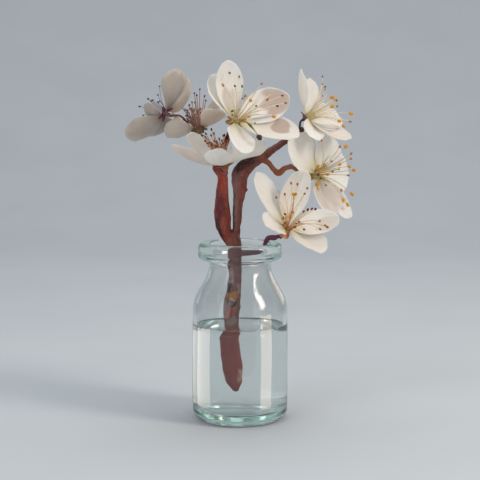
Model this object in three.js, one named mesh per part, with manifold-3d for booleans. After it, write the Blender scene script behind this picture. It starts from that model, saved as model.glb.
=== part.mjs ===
// A plum blossom sprig standing in a small glass vial of water, in millimetres, +Z up.
// The origin is the centre of the vial's flat bottom. In the front view +X is to the right and +Y is away.
import * as THREE from 'three';
import { mergeVertices } from 'three/addons/utils/BufferGeometryUtils.js';
import Module from 'manifold-3d';

const wasm = await Module();
wasm.setup();

// Gap between two pieces that touch on the real sprig
const CLEARANCE = 0.3;

// Vial and water
const VIAL = {
  segments: 28,
  bodyRadius: 12,
  wall: 1.1,
  footRadius: 9.2,
  footCorner: 2.8,
  floor: 2.6,
  shoulderStart: 27,
  shoulderCurve: 5.6,
  neckRadius: 7.8,
  neckHeight: 38.8,
  neckCurve: 4.6,
  neckFlare: 0.5,
  neckBore: 6.6,
  innerDrop: 0.6,
  rimUnderside: 40.4,
  rimRadius: 10.45,
  rimFillet: 1.2,
  rimLowerCorner: 1,
  rimCorner: 1.2,
  mouthRadius: 7.2,
  mouthCorner: 1,
  height: 44.6,
  pointSpacing: 0.8,
};
const WATER = { level: 23.9, meniscusRise: 0.5, meniscusWidth: 1.2, pointSpacing: 0.3 };
// The stem's hole in the water is wider than the stem's clearance by these amounts
const STEM_HOLE = {
  atFoot: 0.4,
  atMiddle: 0.3,
  atTop: 0.4,
  middleAboveTip: 3.5,
  topAboveStation: 2,
  sides: 10,
};

// Woody parts: each station is x, y, z and the radius there
const STEM = [
  [-0.9, 0.0, 8.0, 0.7],
  [-1.1, 0.0, 10.0, 1.5],
  [-1.3, 0.0, 13.0, 1.85],
  [-1.8, 0.0, 18.6, 1.8],
  [-2.2, 0.0, 24.0, 1.75],
  [-2.1, 0.0, 28.8, 2.0],
  [-1.6, 0.0, 31.4, 1.85],
  [-1.3, 0.0, 36.4, 1.6],
  [-1.4, 0.0, 40.0, 1.65],
  [-1.3, 0.0, 43.0, 1.8],
  [-1.8, 0.2, 45.4, 2.0],
];
const LEFT_FORK = [
  [-1.6, 0.1, 43.6, 1.2],
  [-3.5, 0.3, 46.8, 1.55],
  [-4.4, 0.6, 50.6, 2.05],
  [-4.5, 1.0, 54.5, 1.85],
  [-4.4, 1.6, 58.3, 1.35],
  [-4.4, 2.0, 61.0, 1.2],
  [-5.0, 2.8, 63.2, 1.8],
  [-5.9, 4.2, 65.6, 1.35],
  [-7.7, 5.2, 68.2, 1.15],
  [-9.6, 5.8, 70.4, 1.0],
];
const RIGHT_FORK = [
  [-1.4, 0.3, 43.6, 1.1],
  [-1.0, 0.8, 46.8, 1.0],
  [-0.8, 1.2, 50.6, 1.0],
  [-0.5, 1.6, 54.5, 1.2],
  [-0.1, 1.9, 57.4, 1.6],
  [0.1, 2.3, 61.4, 2.1],
  [1.4, 2.6, 63.4, 1.9],
  [5.5, 2.8, 65.7, 1.15],
  [8.2, 3.0, 67.7, 0.85],
  [11.5, 3.3, 69.8, 0.7],
  [15.1, 3.8, 72.0, 0.55],
];
const SIDE_BRANCH = [
  [5.0, 2.8, 65.5, 0.9],
  [7.1, 2.7, 64.3, 0.65],
  [8.6, 2.7, 62.5, 0.65],
  [9.7, 2.9, 61.8, 0.85],
  [11.2, 3.2, 62.9, 0.65],
  [12.8, 3.7, 63.4, 0.6],
];
const MIDDLE_SPUR = [
  [-5.6, 3.8, 65.0, 1.0],
  [-4.7, 3.4, 67.3, 0.85],
  [-3.6, 2.4, 69.4, 0.8],
  [-3.0, 0.9, 70.8, 0.65],
];
const BARE_STALK = [
  [14.6, 3.7, 71.6, 0.5],
  [16.4, 3.9, 71.0, 0.4],
  [18.0, 4.0, 70.5, 0.35],
];
const SHORT_SPUR = [
  [-0.1, 1.8, 57.0, 0.9],
  [1.4, 1.4, 57.7, 0.5],
];
// The lateral crosses the flat top of the rim just above the glass
const LATERAL_OVER_RIM = VIAL.height + CLEARANCE + 0.7;
const LATERAL = [
  [-1.3, -0.2, 41.6, 0.8],
  [2.6, -0.6, 41.6, 0.6],
  [4.8, -1.2, 42.2, 0.55],
  [6.0, -1.8, 44.0, 0.55],
  [6.9, -2.8, LATERAL_OVER_RIM + 0.3, 0.6],
  [8.6, -5.4, LATERAL_OVER_RIM + 0.8, 0.65],
];
const BARK_RELIEF = 0.06;

// One blossom
const PETAL = {
  rows: 5,
  columns: 4,
  thickness: 0.6,
  clawStart: 1.0,
  clawShare: 0.14,
  widestAt: 0.52,
  clawRise: 1.1,
  tipShare: 0.5,
  tipFall: 2.2,
  tipArc: 0.1,
  hollow: 0.1,
  leastSag: 0.05,
  sag: 0.22,
  sagRise: 0.75,
  twistedBy: 0.625,
};
const RING = { radius: 1.5, thickness: 0.7, sides: 10 };
const CUP = { topRadius: 1.55, bottomRadius: 0.6, depth: 2.4, sides: 7 };
const SEPAL = {
  rows: 2,
  columns: 2,
  start: 1.3,
  length: 1.8,
  width: 1.9,
  droop: 0.35,
  thickness: 0.6,
  below: 0.1,
  cornerCut: 0.18,
  // The stretch of a half sine wave that its width follows
  waveStart: 0.18,
  waveLength: 0.7,
};
const DOME = { radius: 1.05, topRadius: 0.75, height: 0.7, rootHeight: 0.4, rootReach: 0.75, sides: 6 };
const STAMEN = { sides: 3, radius: 0.2, antherRadius: 0.55, antherLength: 1.1, antherTurn: 0.12 };
// A stalk starts inside the cup, at this share of its depth, and comes out this far below it
const STALK = { radius: 0.5, sides: 5, startShare: 0.7, below: 0.3 };
// The stamens that fill the tuft: their lean from the axis in degrees and their share of the longest reach
const SPARE = { leastLean: 12, leanRange: 20, leastReach: 0.72, reachRange: 0.2 };
const PISTIL_REACH = 0.72;
const GOLDEN_TURN = Math.PI * (3 - Math.sqrt(5));

// Each petal is the reach of its tip from the heart (x, y, z), its width and, where it has one, its twist in
// degrees. Each anther is its place to the right of the heart and above it, as the front view shows them. It
// lies at the filament's reach towards side, -1 being nearer and 0 both ways in turn, but at most depth from
// the heart that way. More of them, spare, fill the tuft.
const BLOOMS = [
  {
    name: 'bloom_1',
    heart: [-19, 4, 77],
    facing: [-0.5, 0.72, 0.4],
    petals: [
      [4.3, 4.5, 10.3, 9], [6.4, 7.5, 7.4, 8], [-3.4, 9.5, -6.2, 7.6], [-9.3, 4, -7, 8.6], [-5.2, 1.6, 0.8, 4.8],
    ],
    anthers: [[-1.5, 6.5], [-2, 4.3], [-4.5, 3.3], [-3.3, 3], [-4.5, 1.3], [-4.8, -0.2], [-5.8, -0.9]],
    reach: 9.5,
    side: 1,
    depth: 7,
    spare: 2,
    stalk: [[-14.4, 2.2, 75.2], [-12.4, 2.6, 73.4], [-11, 3.6, 71.4], [-8.9, 5.2, 69.3]],
  },
  {
    name: 'bloom_2',
    heart: [-1, -7, 75],
    facing: [0.5, -0.5, 0.7],
    petals: [
      [-1.8, 0.5, 14.4, 7.2, -25], [-5.2, 3.5, 11.3, 8.6, -20], [12.7, 7, 6.4, 9], [15.5, 0, -3.2, 9.6],
      [1.7, -9.5, -7.4, 7.6],
    ],
    anthers: [
      [-1.5, 11.4], [0.8, 10.5], [-3, 8.4], [-0.2, 8.2], [1.5, 8.1], [2.2, 5.8], [3.5, 4.8], [6.2, 8.8],
      [4.8, 3.5], [7.5, 5], [11.2, 6], [12, 4.2], [10, 3.5], [9, 1], [4.5, -0.5],
    ],
    reach: 10.5,
    side: -1,
    depth: 9,
    spare: 1,
    pistil: [5.6, -6, -3.9],
    stalk: [[-2.7, -3.6, 72.2], [-2.9, -1.2, 71.6], [-3, 0.9, 70.8]],
  },
  {
    name: 'bloom_3',
    heart: [-3.8, -3, 64.3],
    facing: [-0.2, -0.15, 0.97],
    petals: [
      [-13, -2, 4.6, 8.4, 20], [-8.6, 3.4, 7.6, 8.8], [-2.4, -10, 4, 6.8], [9.4, -4.5, 6, 9.4, -45],
      [9, 6.5, 6.2, 8.8],
    ],
    anthers: [
      [-5.5, 7], [-4.5, 7.5], [-2.5, 7.6], [-3.2, 8.5], [-4.6, 5.8], [0, 7.2],
      [-3.6, 5.4], [-2.4, 5.8], [-1.2, 6.2], [-0.4, 5.2], [0.8, 5.8],
    ],
    reach: 9,
    side: -1,
    depth: 4,
    spare: 3,
    stalk: [[-3.6, -1, 61], [-4.4, 2, 60]],
  },
  {
    name: 'bloom_4',
    heart: [17, 4, 75.8],
    facing: [0.8, -0.15, 0.5],
    petals: [
      [-1.9, -3, 11.6, 7.6, 5], [1.6, 5, 9.2, 8.6], [8.4, 6, 0.2, 9.8], [10.8, -2, -5.4, 7.6, 25],
      [1.6, -6.5, -5.6, 6.2, 35],
    ],
    anthers: [
      [3.6, 10], [3.8, 8.2], [4, 7.4], [3.8, 5.2], [5.8, 4.8], [7.3, 4.2], [5.8, 2.5], [10.8, 0.8],
      [7.6, -1], [10.6, -1.2], [8.6, -2.2],
    ],
    reach: 10.5,
    side: 0,
    depth: 4,
    spare: 3,
    stalk: [[15, 4.2, 73.4], [15.1, 3.8, 72]],
  },
  {
    name: 'bloom_5',
    heart: [19.3, 3, 61.6],
    facing: [0.64, -0.68, 0.18],
    petals: [
      [-7.2, -5.5, 9, 10.4], [4.6, 4.5, 8.6, 9.4], [8.4, 5.5, -0.4, 10], [8.6, 0.5, -11.2, 5.8],
      [3.9, -4.3, -9.8, 9],
    ],
    anthers: [
      [0.7, 8.5], [5.2, 7], [7, 7], [8.2, 5.2], [3, 3.5], [5, 2.8], [8, 4], [7.5, 2.2],
      [8.8, 1.2], [5.5, -3.6], [8.5, -4.8], [6.2, -6.2], [7.8, -7.8],
    ],
    reach: 10.5,
    side: -1,
    depth: 9,
    spare: 2,
    stalk: [[15.4, 5, 61.8], [12.8, 3.7, 63.4]],
  },
  {
    name: 'bloom_6',
    heart: [11.4, -8, 49.2],
    facing: [0.4, -0.45, 0.7],
    petals: [
      [-7.3, 2, 13.3, 7.6], [-5.6, -8, 1.8, 7.4], [4.5, 2, 13.7, 7.4], [12.8, 2.5, 2.2, 8.6],
      [9.3, -3, -5.4, 8.8],
    ],
    anthers: [
      [1, 10.7], [2.5, 10.5], [4.9, 9.5], [-0.8, 8.5], [1.8, 8.5], [4, 8.5], [-2.8, 7.8], [1, 4.5], [-0.8, 4],
      [2.5, 2.2], [7.5, 2.2], [8.9, 1], [9.5, 0.5], [7.6, 0.3], [3.7, 0.4], [3.6, 4.6], [6.5, 5],
    ],
    reach: 10.5,
    side: -1,
    depth: 9,
    spare: 0,
    pistil: [1.4, -5, 8.4],
    stalk: [[9.6, -6.3, 46.8], [8.6, -5.4, LATERAL_OVER_RIM + 0.8]],
  },
  {
    name: 'bloom_7',
    heart: [-10.4, 7, 73.2],
    facing: [-0.15, 0.45, 0.88],
    petals: [
      [-8.8, 0.2, -1.4, 7.3, 20], [-6.8, 4.8, 4, 7], [-1.5, 9.5, 1.5, 7.8], [3.4, 7.5, 6.8, 8.6],
      [6.3, -3, 3.8, 8],
    ],
    anthers: [
      [-1.2, 8.5], [-0.6, 8], [0.2, 9.5], [1.4, 7.8], [-1.8, 6.2], [-2.5, 5.5], [-3, 4.2], [-1.6, 4.2],
      [1, 4],
    ],
    reach: 9.8,
    side: 1,
    depth: 2,
    spare: 1,
    stalk: [[-9.9, 6.1, 71], [-9, 5.6, 69.8]],
  },
];

const COLOURS = {
  glass: { color: 0xd6ebe6, roughness: 0.05, metalness: 0, transparent: true, opacity: 0.35 },
  water: { color: 0xe4f1f0, roughness: 0.02, metalness: 0, transparent: true, opacity: 0.35 },
  bark: { color: 0x5f332c, roughness: 0.8, metalness: 0 },
  calyx: { color: 0x6b2f2c, roughness: 0.7, metalness: 0 },
  petal: { color: 0xf2ece2, roughness: 0.6, metalness: 0 },
  shadedPetal: { color: 0x9c9791, roughness: 0.6, metalness: 0 },
  stamen: { color: 0xd9a441, roughness: 0.6, metalness: 0 },
};
const SHADED = new Set(['bloom_1', 'bloom_7']);

// A repeatable draw from 0 to 1 for each whole number
function draw(n) {
  const value = Math.sin(n * 12.9898) * 43758.5453;
  return value - Math.floor(value);
}

// The closed solid of a geometry, with shared vertices merged and triangles of no area dropped
function toSolid(geometry) {
  const bare = geometry.clone();
  bare.deleteAttribute('normal');
  bare.deleteAttribute('uv');
  const merged = mergeVertices(bare, 1e-4);
  const corners = merged.index.array;
  const triangles = [];
  for (let i = 0; i < corners.length; i += 3) {
    const [a, b, c] = [corners[i], corners[i + 1], corners[i + 2]];
    if (a !== b && b !== c && c !== a) triangles.push(a, b, c);
  }
  const mesh = new wasm.Mesh({
    numProp: 3,
    vertProperties: new Float32Array(merged.attributes.position.array),
    triVerts: new Uint32Array(triangles),
  });
  return new wasm.Manifold(mesh);
}

function toGeometry(solid) {
  const mesh = solid.getMesh();
  const geometry = new THREE.BufferGeometry();
  geometry.setAttribute('position', new THREE.BufferAttribute(new Float32Array(mesh.vertProperties), 3));
  geometry.setIndex(new THREE.BufferAttribute(new Uint32Array(mesh.triVerts), 1));
  geometry.computeVertexNormals();
  return geometry;
}

function join(solids) {
  return solids.reduce((whole, piece) => whole.add(piece));
}

function vector([x, y, z]) {
  return new THREE.Vector3(x, y, z);
}

// A profile of radius and height turned about Z
function turned(profile) {
  const geometry = new THREE.LatheGeometry(profile, VIAL.segments);
  geometry.rotateX(Math.PI / 2);
  return toSolid(geometry);
}

// A capped tube through stations of x, y, z and radius: a prism whose rings are laid along the curve. grow
// makes it fatter and longer all round, for the room that another piece leaves it. relief roughens it.
function tube(stations, sides, steps, grow = 0, relief = 0) {
  const curve = new THREE.CatmullRomCurve3(stations.map(vector), false, 'centripetal');
  const frames = curve.computeFrenetFrames(steps);
  const geometry = new THREE.CylinderGeometry(1, 1, 1, sides, steps);
  const place = geometry.attributes.position;
  for (let i = 0; i < place.count; i += 1) {
    const ring = Math.round((place.getY(i) + 0.5) * steps);
    const share = ring / steps;
    const along = curve.getUtoTmapping(share) * (stations.length - 1);
    const before = Math.min(Math.floor(along), stations.length - 2);
    const radius = THREE.MathUtils.lerp(stations[before][3], stations[before + 1][3], along - before);
    const turn = Math.atan2(place.getZ(i), place.getX(i)) / (2 * Math.PI);
    const corner = Math.round(turn * sides + sides) % sides;
    const bump = 1 + relief * (2 * draw(ring * sides + corner) - 1);
    const full = radius * bump + grow;
    const point = curve.getPointAt(share)
      .addScaledVector(frames.binormals[ring], place.getX(i) * full)
      .addScaledVector(frames.normals[ring], place.getZ(i) * full);
    if (ring === 0) point.addScaledVector(frames.tangents[ring], -grow);
    if (ring === steps) point.addScaledVector(frames.tangents[ring], grow);
    place.setXYZ(i, point.x, point.y, point.z);
  }
  return toSolid(geometry);
}

// A closed thin sheet over a grid: place gives its point for u along it from 0 to 1, v across it from -1 to
// 1, and side 1 or -1. Both faces are split into triangles alike.
function blade(rows, columns, place) {
  const points = [];
  for (const side of [1, -1]) {
    for (let i = 0; i <= rows; i += 1) {
      for (let j = 0; j <= columns; j += 1) {
        points.push(...place(i / rows, (2 * j) / columns - 1, side).toArray());
      }
    }
  }
  const span = columns + 1;
  const layer = (rows + 1) * span;
  const triangles = [];
  for (let i = 0; i < rows; i += 1) {
    for (let j = 0; j < columns; j += 1) {
      const a = i * span + j;
      const [b, c, d] = [a + 1, a + span, a + span + 1];
      triangles.push(a, c, d, a, d, b);
      triangles.push(a + layer, d + layer, c + layer, a + layer, b + layer, d + layer);
    }
  }
  const edge = [];
  for (let j = 0; j < columns; j += 1) edge.push(j);
  for (let i = 0; i < rows; i += 1) edge.push(i * span + columns);
  for (let j = columns; j > 0; j -= 1) edge.push(rows * span + j);
  for (let i = rows; i > 0; i -= 1) edge.push(i * span);
  edge.forEach((here, k) => {
    const next = edge[(k + 1) % edge.length];
    triangles.push(here, next, next + layer, here, next + layer, here + layer);
  });
  const geometry = new THREE.BufferGeometry();
  geometry.setAttribute('position', new THREE.BufferAttribute(new Float32Array(points), 3));
  geometry.setIndex(triangles);
  return toSolid(geometry);
}

// Glass: flat foot, round corner, straight body, sloped shoulder, neck, rolled rim, and back down inside
function vialProfile() {
  const v = VIAL;
  const inside = v.bodyRadius - v.wall;
  const bend = v.footCorner - v.wall;
  const outline = new THREE.Path();
  outline.moveTo(0, 0);
  outline.lineTo(v.footRadius, 0);
  outline.absarc(v.footRadius, v.footCorner, v.footCorner, -Math.PI / 2, 0);
  outline.lineTo(v.bodyRadius, v.shoulderStart);
  outline.bezierCurveTo(
    v.bodyRadius, v.shoulderStart + v.shoulderCurve,
    v.neckRadius + v.neckFlare, v.neckHeight - v.neckCurve,
    v.neckRadius, v.neckHeight,
  );
  outline.quadraticCurveTo(v.neckRadius, v.rimUnderside, v.neckRadius + v.rimFillet, v.rimUnderside);
  const lower = v.rimLowerCorner;
  outline.absarc(v.rimRadius - lower, v.rimUnderside + lower, lower, -Math.PI / 2, 0);
  outline.absarc(v.rimRadius - v.rimCorner, v.height - v.rimCorner, v.rimCorner, 0, Math.PI / 2);
  const mouth = v.mouthRadius;
  outline.absarc(mouth + v.mouthCorner, v.height - v.mouthCorner, v.mouthCorner, Math.PI / 2, Math.PI);
  const flare = v.rimUnderside + v.rimFillet;
  outline.quadraticCurveTo(mouth, flare, v.neckBore, flare - v.rimFillet / 2);
  outline.lineTo(v.neckBore, v.neckHeight);
  outline.bezierCurveTo(
    v.neckBore + v.neckFlare, v.neckHeight - v.neckCurve - v.innerDrop,
    inside, v.shoulderStart + v.shoulderCurve - v.innerDrop,
    inside, v.shoulderStart - v.innerDrop,
  );
  outline.lineTo(inside, v.floor + bend);
  outline.absarc(inside - bend, v.floor + bend, bend, 0, -Math.PI / 2, true);
  outline.lineTo(0, v.floor);
  return thinned(outline.getPoints(4), v.pointSpacing);
}

// The points of an outline without those that lie closer together than least
function thinned(points, least) {
  const kept = [points[0]];
  for (const point of points.slice(1)) {
    if (point.distanceTo(kept[kept.length - 1]) > least) kept.push(point);
  }
  return kept;
}

function buildVial() {
  return turned(vialProfile());
}

// Water: the inside of the body up to its level, a little higher at the glass, with a hole for the stem
function buildWater() {
  const radius = VIAL.bodyRadius - VIAL.wall - CLEARANCE;
  const base = VIAL.floor + CLEARANCE;
  const bend = VIAL.footCorner - VIAL.wall;
  const { level, meniscusRise, meniscusWidth } = WATER;
  const outline = new THREE.Path();
  outline.moveTo(0, base);
  outline.lineTo(radius - bend, base);
  outline.absarc(radius - bend, base + bend, bend, -Math.PI / 2, 0);
  outline.lineTo(radius, level + meniscusRise);
  outline.quadraticCurveTo(radius - meniscusWidth / 3, level, radius - meniscusWidth, level);
  outline.lineTo(0, level);
  const [tip, , middle, , top] = STEM;
  const hole = tube(
    [
      [tip[0], tip[1], tip[2] - CLEARANCE, tip[3] + CLEARANCE + STEM_HOLE.atFoot],
      [tip[0], tip[1], tip[2] + STEM_HOLE.middleAboveTip, middle[3] + CLEARANCE + STEM_HOLE.atMiddle],
      [top[0], top[1], top[2] + STEM_HOLE.topAboveStation, top[3] + CLEARANCE + STEM_HOLE.atTop],
    ],
    STEM_HOLE.sides,
    3,
  );
  return turned(thinned(outline.getPoints(3), WATER.pointSpacing)).subtract(hole);
}

// The whole woody twig, one grown piece
function buildTwig(grow = 0) {
  return join([
    tube(STEM, 9, 22, grow, BARK_RELIEF),
    tube(LEFT_FORK, 8, 16, grow, BARK_RELIEF),
    tube(RIGHT_FORK, 8, 20, grow, BARK_RELIEF),
    tube(SIDE_BRANCH, 6, 9, grow, BARK_RELIEF),
    tube(MIDDLE_SPUR, 6, 6, grow, BARK_RELIEF),
    tube(BARE_STALK, 5, 3, grow),
    tube(SHORT_SPUR, 6, 2, grow),
    tube(LATERAL, 6, 8, grow),
  ]);
}

// The width of a petal as a share of its widest: a quarter sine from the claw, then a slow fall to the tip
function petalSpread(u) {
  const { clawShare, widestAt, tipShare } = PETAL;
  if (u < widestAt) {
    return clawShare + (1 - clawShare) * Math.sin((Math.PI / 2) * (u / widestAt)) ** PETAL.clawRise;
  }
  return 1 - (1 - tipShare) * ((u - widestAt) / (1 - widestAt)) ** PETAL.tipFall;
}

// The part of a vector that is square to the axis, made as long as asked, or nothing where they are in line
function squareTo(axis, reach, length) {
  const out = reach.clone().addScaledVector(axis, -reach.dot(axis));
  return out.length() < 0.01 ? out.set(0, 0, 0) : out.setLength(length);
}

// One petal from the ring to its tip. It leaves the ring nearly square to the axis, so the steeper it stands
// the more it curves. It is hollow across, and its twist grows from the claw outward.
function petal(axis, [x, y, z, width, twist = 0]) {
  const tip = new THREE.Vector3(x, y, z);
  const claw = squareTo(axis, tip, PETAL.clawStart);
  const chord = tip.clone().sub(claw);
  const length = chord.length();
  const along = chord.normalize();
  const flat = new THREE.Vector3().crossVectors(axis, along).normalize();
  const rise = Math.asin(along.dot(axis));
  const sag = length * Math.max(PETAL.leastSag, PETAL.sag * Math.tan(PETAL.sagRise * rise));
  return blade(PETAL.rows, PETAL.columns, (u, v, side) => {
    const turn = THREE.MathUtils.degToRad(twist * Math.min(1, u / PETAL.twistedBy));
    const across = flat.clone().applyAxisAngle(along, turn);
    const inward = new THREE.Vector3().crossVectors(along, across);
    const s = u * (1 - PETAL.tipArc * v * v * u ** 3);
    const half = (width / 2) * petalSpread(u);
    const lift = PETAL.hollow * width * (v * petalSpread(u)) ** 2 - 4 * sag * s * (1 - s);
    return claw.clone()
      .addScaledVector(along, length * s)
      .addScaledVector(across, half * v)
      .addScaledVector(inward, lift + (side * PETAL.thickness) / 2);
  });
}

// A short cylinder or cone about the blossom's axis, from one height to another
function collar(axis, low, high, lowRadius, highRadius, sides) {
  const geometry = new THREE.CylinderGeometry(highRadius, lowRadius, high - low, sides);
  geometry.translate(0, (low + high) / 2, 0);
  geometry.applyQuaternion(new THREE.Quaternion().setFromUnitVectors(new THREE.Vector3(0, 1, 0), axis));
  return toSolid(geometry);
}

// Five petals round the ring that they grow from
function buildPetals(bloom, axis) {
  const ring = collar(axis, -RING.thickness / 2, RING.thickness / 2, RING.radius, RING.radius, RING.sides);
  return join([ring, ...bloom.petals.map((shape) => petal(axis, shape))]);
}

// One stamen: a thin filament from the dome to a small anther, which is turned a little towards the axis
function stamen(axis, tip, rootRadius) {
  const root = squareTo(axis, tip, rootRadius);
  root.addScaledVector(axis, RING.thickness / 2 + CLEARANCE + DOME.rootHeight);
  const bend = root.clone().lerp(tip, 0.5).addScaledVector(axis, STAMEN.antherTurn * tip.length() / 2);
  const neck = tip.clone().lerp(bend, (2 * STAMEN.antherLength) / tip.length());
  const middle = neck.clone().lerp(tip, 0.5);
  const stations = [
    [...root.toArray(), STAMEN.radius],
    [...neck.toArray(), STAMEN.radius],
    [...middle.toArray(), STAMEN.antherRadius],
    [...tip.toArray(), 0],
  ];
  return strand(stations, STAMEN.sides);
}

// A short tube with one ring at each station and no rings between
function strand(stations, sides) {
  const geometry = new THREE.CylinderGeometry(1, 1, 1, sides, stations.length - 1);
  const points = stations.map(vector);
  const first = points[points.length - 1].clone().sub(points[0]).normalize();
  const helper = Math.abs(first.z) < 0.8 ? new THREE.Vector3(0, 0, 1) : new THREE.Vector3(1, 0, 0);
  const across = new THREE.Vector3().crossVectors(first, helper).normalize();
  const other = new THREE.Vector3().crossVectors(across, first);
  const place = geometry.attributes.position;
  for (let i = 0; i < place.count; i += 1) {
    const ring = Math.round((place.getY(i) + 0.5) * (stations.length - 1));
    const radius = stations[ring][3];
    const point = points[ring].clone()
      .addScaledVector(across, place.getX(i) * radius)
      .addScaledVector(other, place.getZ(i) * radius);
    place.setXYZ(i, point.x, point.y, point.z);
  }
  return toSolid(geometry);
}

// Where each anther of a blossom is, from its heart
function antherPlaces(bloom, axis) {
  const places = bloom.anthers.map(([right, up], k) => {
    const rest = Math.max(bloom.reach ** 2 - right ** 2 - up ** 2, 0);
    const side = bloom.side === 0 ? (k % 2 === 0 ? -1 : 1) : bloom.side;
    return new THREE.Vector3(right, side * Math.min(bloom.depth, Math.sqrt(rest)), up);
  });
  const first = new THREE.Vector3().crossVectors(axis, new THREE.Vector3(0, 0, 1)).normalize();
  for (let k = 0; k < bloom.spare; k += 1) {
    const turn = k * GOLDEN_TURN + draw(k + 7);
    const spread = Math.sqrt((k + 0.5) / bloom.spare);
    const lean = THREE.MathUtils.degToRad(SPARE.leastLean + SPARE.leanRange * spread);
    const share = SPARE.leastReach + SPARE.reachRange * draw(k + 31);
    const out = first.clone().applyAxisAngle(axis, turn);
    const direction = axis.clone().multiplyScalar(Math.cos(lean)).addScaledVector(out, Math.sin(lean));
    places.push(direction.multiplyScalar(bloom.reach * share));
  }
  return places;
}

// The tuft: a low dome, its stamens and the pistil in the middle
function buildStamens(bloom, axis) {
  const low = RING.thickness / 2 + CLEARANCE;
  const dome = collar(axis, low, low + DOME.height, DOME.radius, DOME.topRadius, DOME.sides);
  const upright = axis.clone().multiplyScalar(bloom.reach * PISTIL_REACH);
  const pistilTip = bloom.pistil ? vector(bloom.pistil) : upright;
  const tips = [...antherPlaces(bloom, axis), pistilTip];
  const rootRadius = (tip) => Math.min(DOME.rootReach, tip.angleTo(axis));
  return largest(join([dome, ...tips.map((tip) => stamen(axis, tip, rootRadius(tip)))]));
}

// Directions midway between neighbouring petals round the axis
function petalGaps(bloom, axis) {
  const first = new THREE.Vector3().crossVectors(axis, new THREE.Vector3(0, 1, 0.3)).normalize();
  const second = new THREE.Vector3().crossVectors(axis, first);
  const angles = bloom.petals
    .map((shape) => Math.atan2(vector(shape).dot(second), vector(shape).dot(first)))
    .sort((a, b) => a - b);
  return angles.map((angle, k) => {
    const next = k + 1 < angles.length ? angles[k + 1] : angles[0] + 2 * Math.PI;
    const middle = (angle + next) / 2;
    return first.clone().multiplyScalar(Math.cos(middle)).addScaledVector(second, Math.sin(middle));
  });
}

// One sepal under the gap between two petals, drooping a little
function sepal(axis, out) {
  const across = new THREE.Vector3().crossVectors(axis, out).normalize();
  const low = -(RING.thickness / 2 + CLEARANCE + SEPAL.thickness / 2 + SEPAL.below);
  return blade(SEPAL.rows, SEPAL.columns, (u, v, side) => {
    const half = (SEPAL.width / 2) * Math.sin(Math.PI * (SEPAL.waveStart + SEPAL.waveLength * u));
    const reach = SEPAL.start + SEPAL.length * u * (1 - SEPAL.cornerCut * v * v * u);
    return out.clone().multiplyScalar(reach)
      .addScaledVector(across, half * v)
      .addScaledVector(axis, low - SEPAL.droop * SEPAL.length * u * u + (side * SEPAL.thickness) / 2);
  });
}

// Cup, sepals and stalk, grown as one, and cut back where the stalk meets the twig
function buildCalyx(bloom, axis, room) {
  const top = -(RING.thickness / 2 + CLEARANCE);
  const heart = vector(bloom.heart);
  const cup = collar(axis, top - CUP.depth, top, CUP.bottomRadius, CUP.topRadius, CUP.sides);
  const sepals = petalGaps(bloom, axis).map((out) => sepal(axis, out));
  const start = axis.clone().multiplyScalar(top - CUP.depth * STALK.startShare);
  const next = axis.clone().multiplyScalar(top - CUP.depth - STALK.below);
  const route = [start, next, ...bloom.stalk.map((point) => vector(point).sub(heart))];
  const stations = route.map((point) => [...point.toArray(), STALK.radius]);
  const stalk = tube(stations, STALK.sides, route.length + 2);
  const whole = join([cup, ...sepals, stalk]).translate(bloom.heart);
  return largest(whole.subtract(room));
}

// The biggest body of a solid that a cut has left in several
function largest(solid) {
  return solid.decompose().reduce((best, piece) => (piece.volume() > best.volume() ? piece : best));
}

function part(name, solid, finish) {
  const mesh = new THREE.Mesh(toGeometry(solid), new THREE.MeshStandardMaterial(finish));
  mesh.name = name;
  return mesh;
}

const sprig = new THREE.Group();
sprig.add(part('vial', buildVial(), COLOURS.glass));
sprig.add(part('water', buildWater(), COLOURS.water));
sprig.add(part('twig', buildTwig(), COLOURS.bark));
const twigRoom = buildTwig(CLEARANCE);
for (const bloom of BLOOMS) {
  const axis = vector(bloom.facing).normalize();
  const petalFinish = SHADED.has(bloom.name) ? COLOURS.shadedPetal : COLOURS.petal;
  sprig.add(part(`${bloom.name}_calyx`, buildCalyx(bloom, axis, twigRoom), COLOURS.calyx));
  sprig.add(part(`${bloom.name}_petals`, buildPetals(bloom, axis).translate(bloom.heart), petalFinish));
  sprig.add(part(`${bloom.name}_stamens`, buildStamens(bloom, axis).translate(bloom.heart), COLOURS.stamen));
}

export default sprig;
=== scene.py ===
"""A plum blossom sprig in a small glass vial of water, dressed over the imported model.

Every shape here is worked out in millimetres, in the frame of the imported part: +Z up, the origin at the
centre of the vial's flat bottom, +X to the right and +Y away from the camera. A mesh is turned to metres when
it is made.
"""

import logging
import math
from dataclasses import dataclass, field
from enum import Enum

import bpy
import numpy as np
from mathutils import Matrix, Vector


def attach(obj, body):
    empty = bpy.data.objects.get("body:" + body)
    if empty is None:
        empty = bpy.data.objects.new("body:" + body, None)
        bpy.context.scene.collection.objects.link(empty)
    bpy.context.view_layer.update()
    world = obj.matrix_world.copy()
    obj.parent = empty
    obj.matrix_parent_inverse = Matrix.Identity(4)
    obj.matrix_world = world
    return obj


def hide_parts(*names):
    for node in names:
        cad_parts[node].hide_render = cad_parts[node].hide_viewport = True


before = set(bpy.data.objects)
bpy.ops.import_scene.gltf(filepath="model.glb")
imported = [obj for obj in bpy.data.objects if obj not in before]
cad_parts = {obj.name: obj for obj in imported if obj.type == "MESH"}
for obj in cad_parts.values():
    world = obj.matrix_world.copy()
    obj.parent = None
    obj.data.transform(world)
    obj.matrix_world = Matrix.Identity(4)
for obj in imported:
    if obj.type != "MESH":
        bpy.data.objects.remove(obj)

log = logging.getLogger("sprig")
Array = np.ndarray
Faces = list[list[int]]
Place = tuple[float, float, float]
Spot = tuple[float, float]
Material = bpy.types.Material
Tree = bpy.types.NodeTree
Socket = bpy.types.NodeSocket
Piece = bpy.types.Object
MM = 0.001
GOLDEN_TURN = math.pi * (3 - math.sqrt(5))
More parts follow.
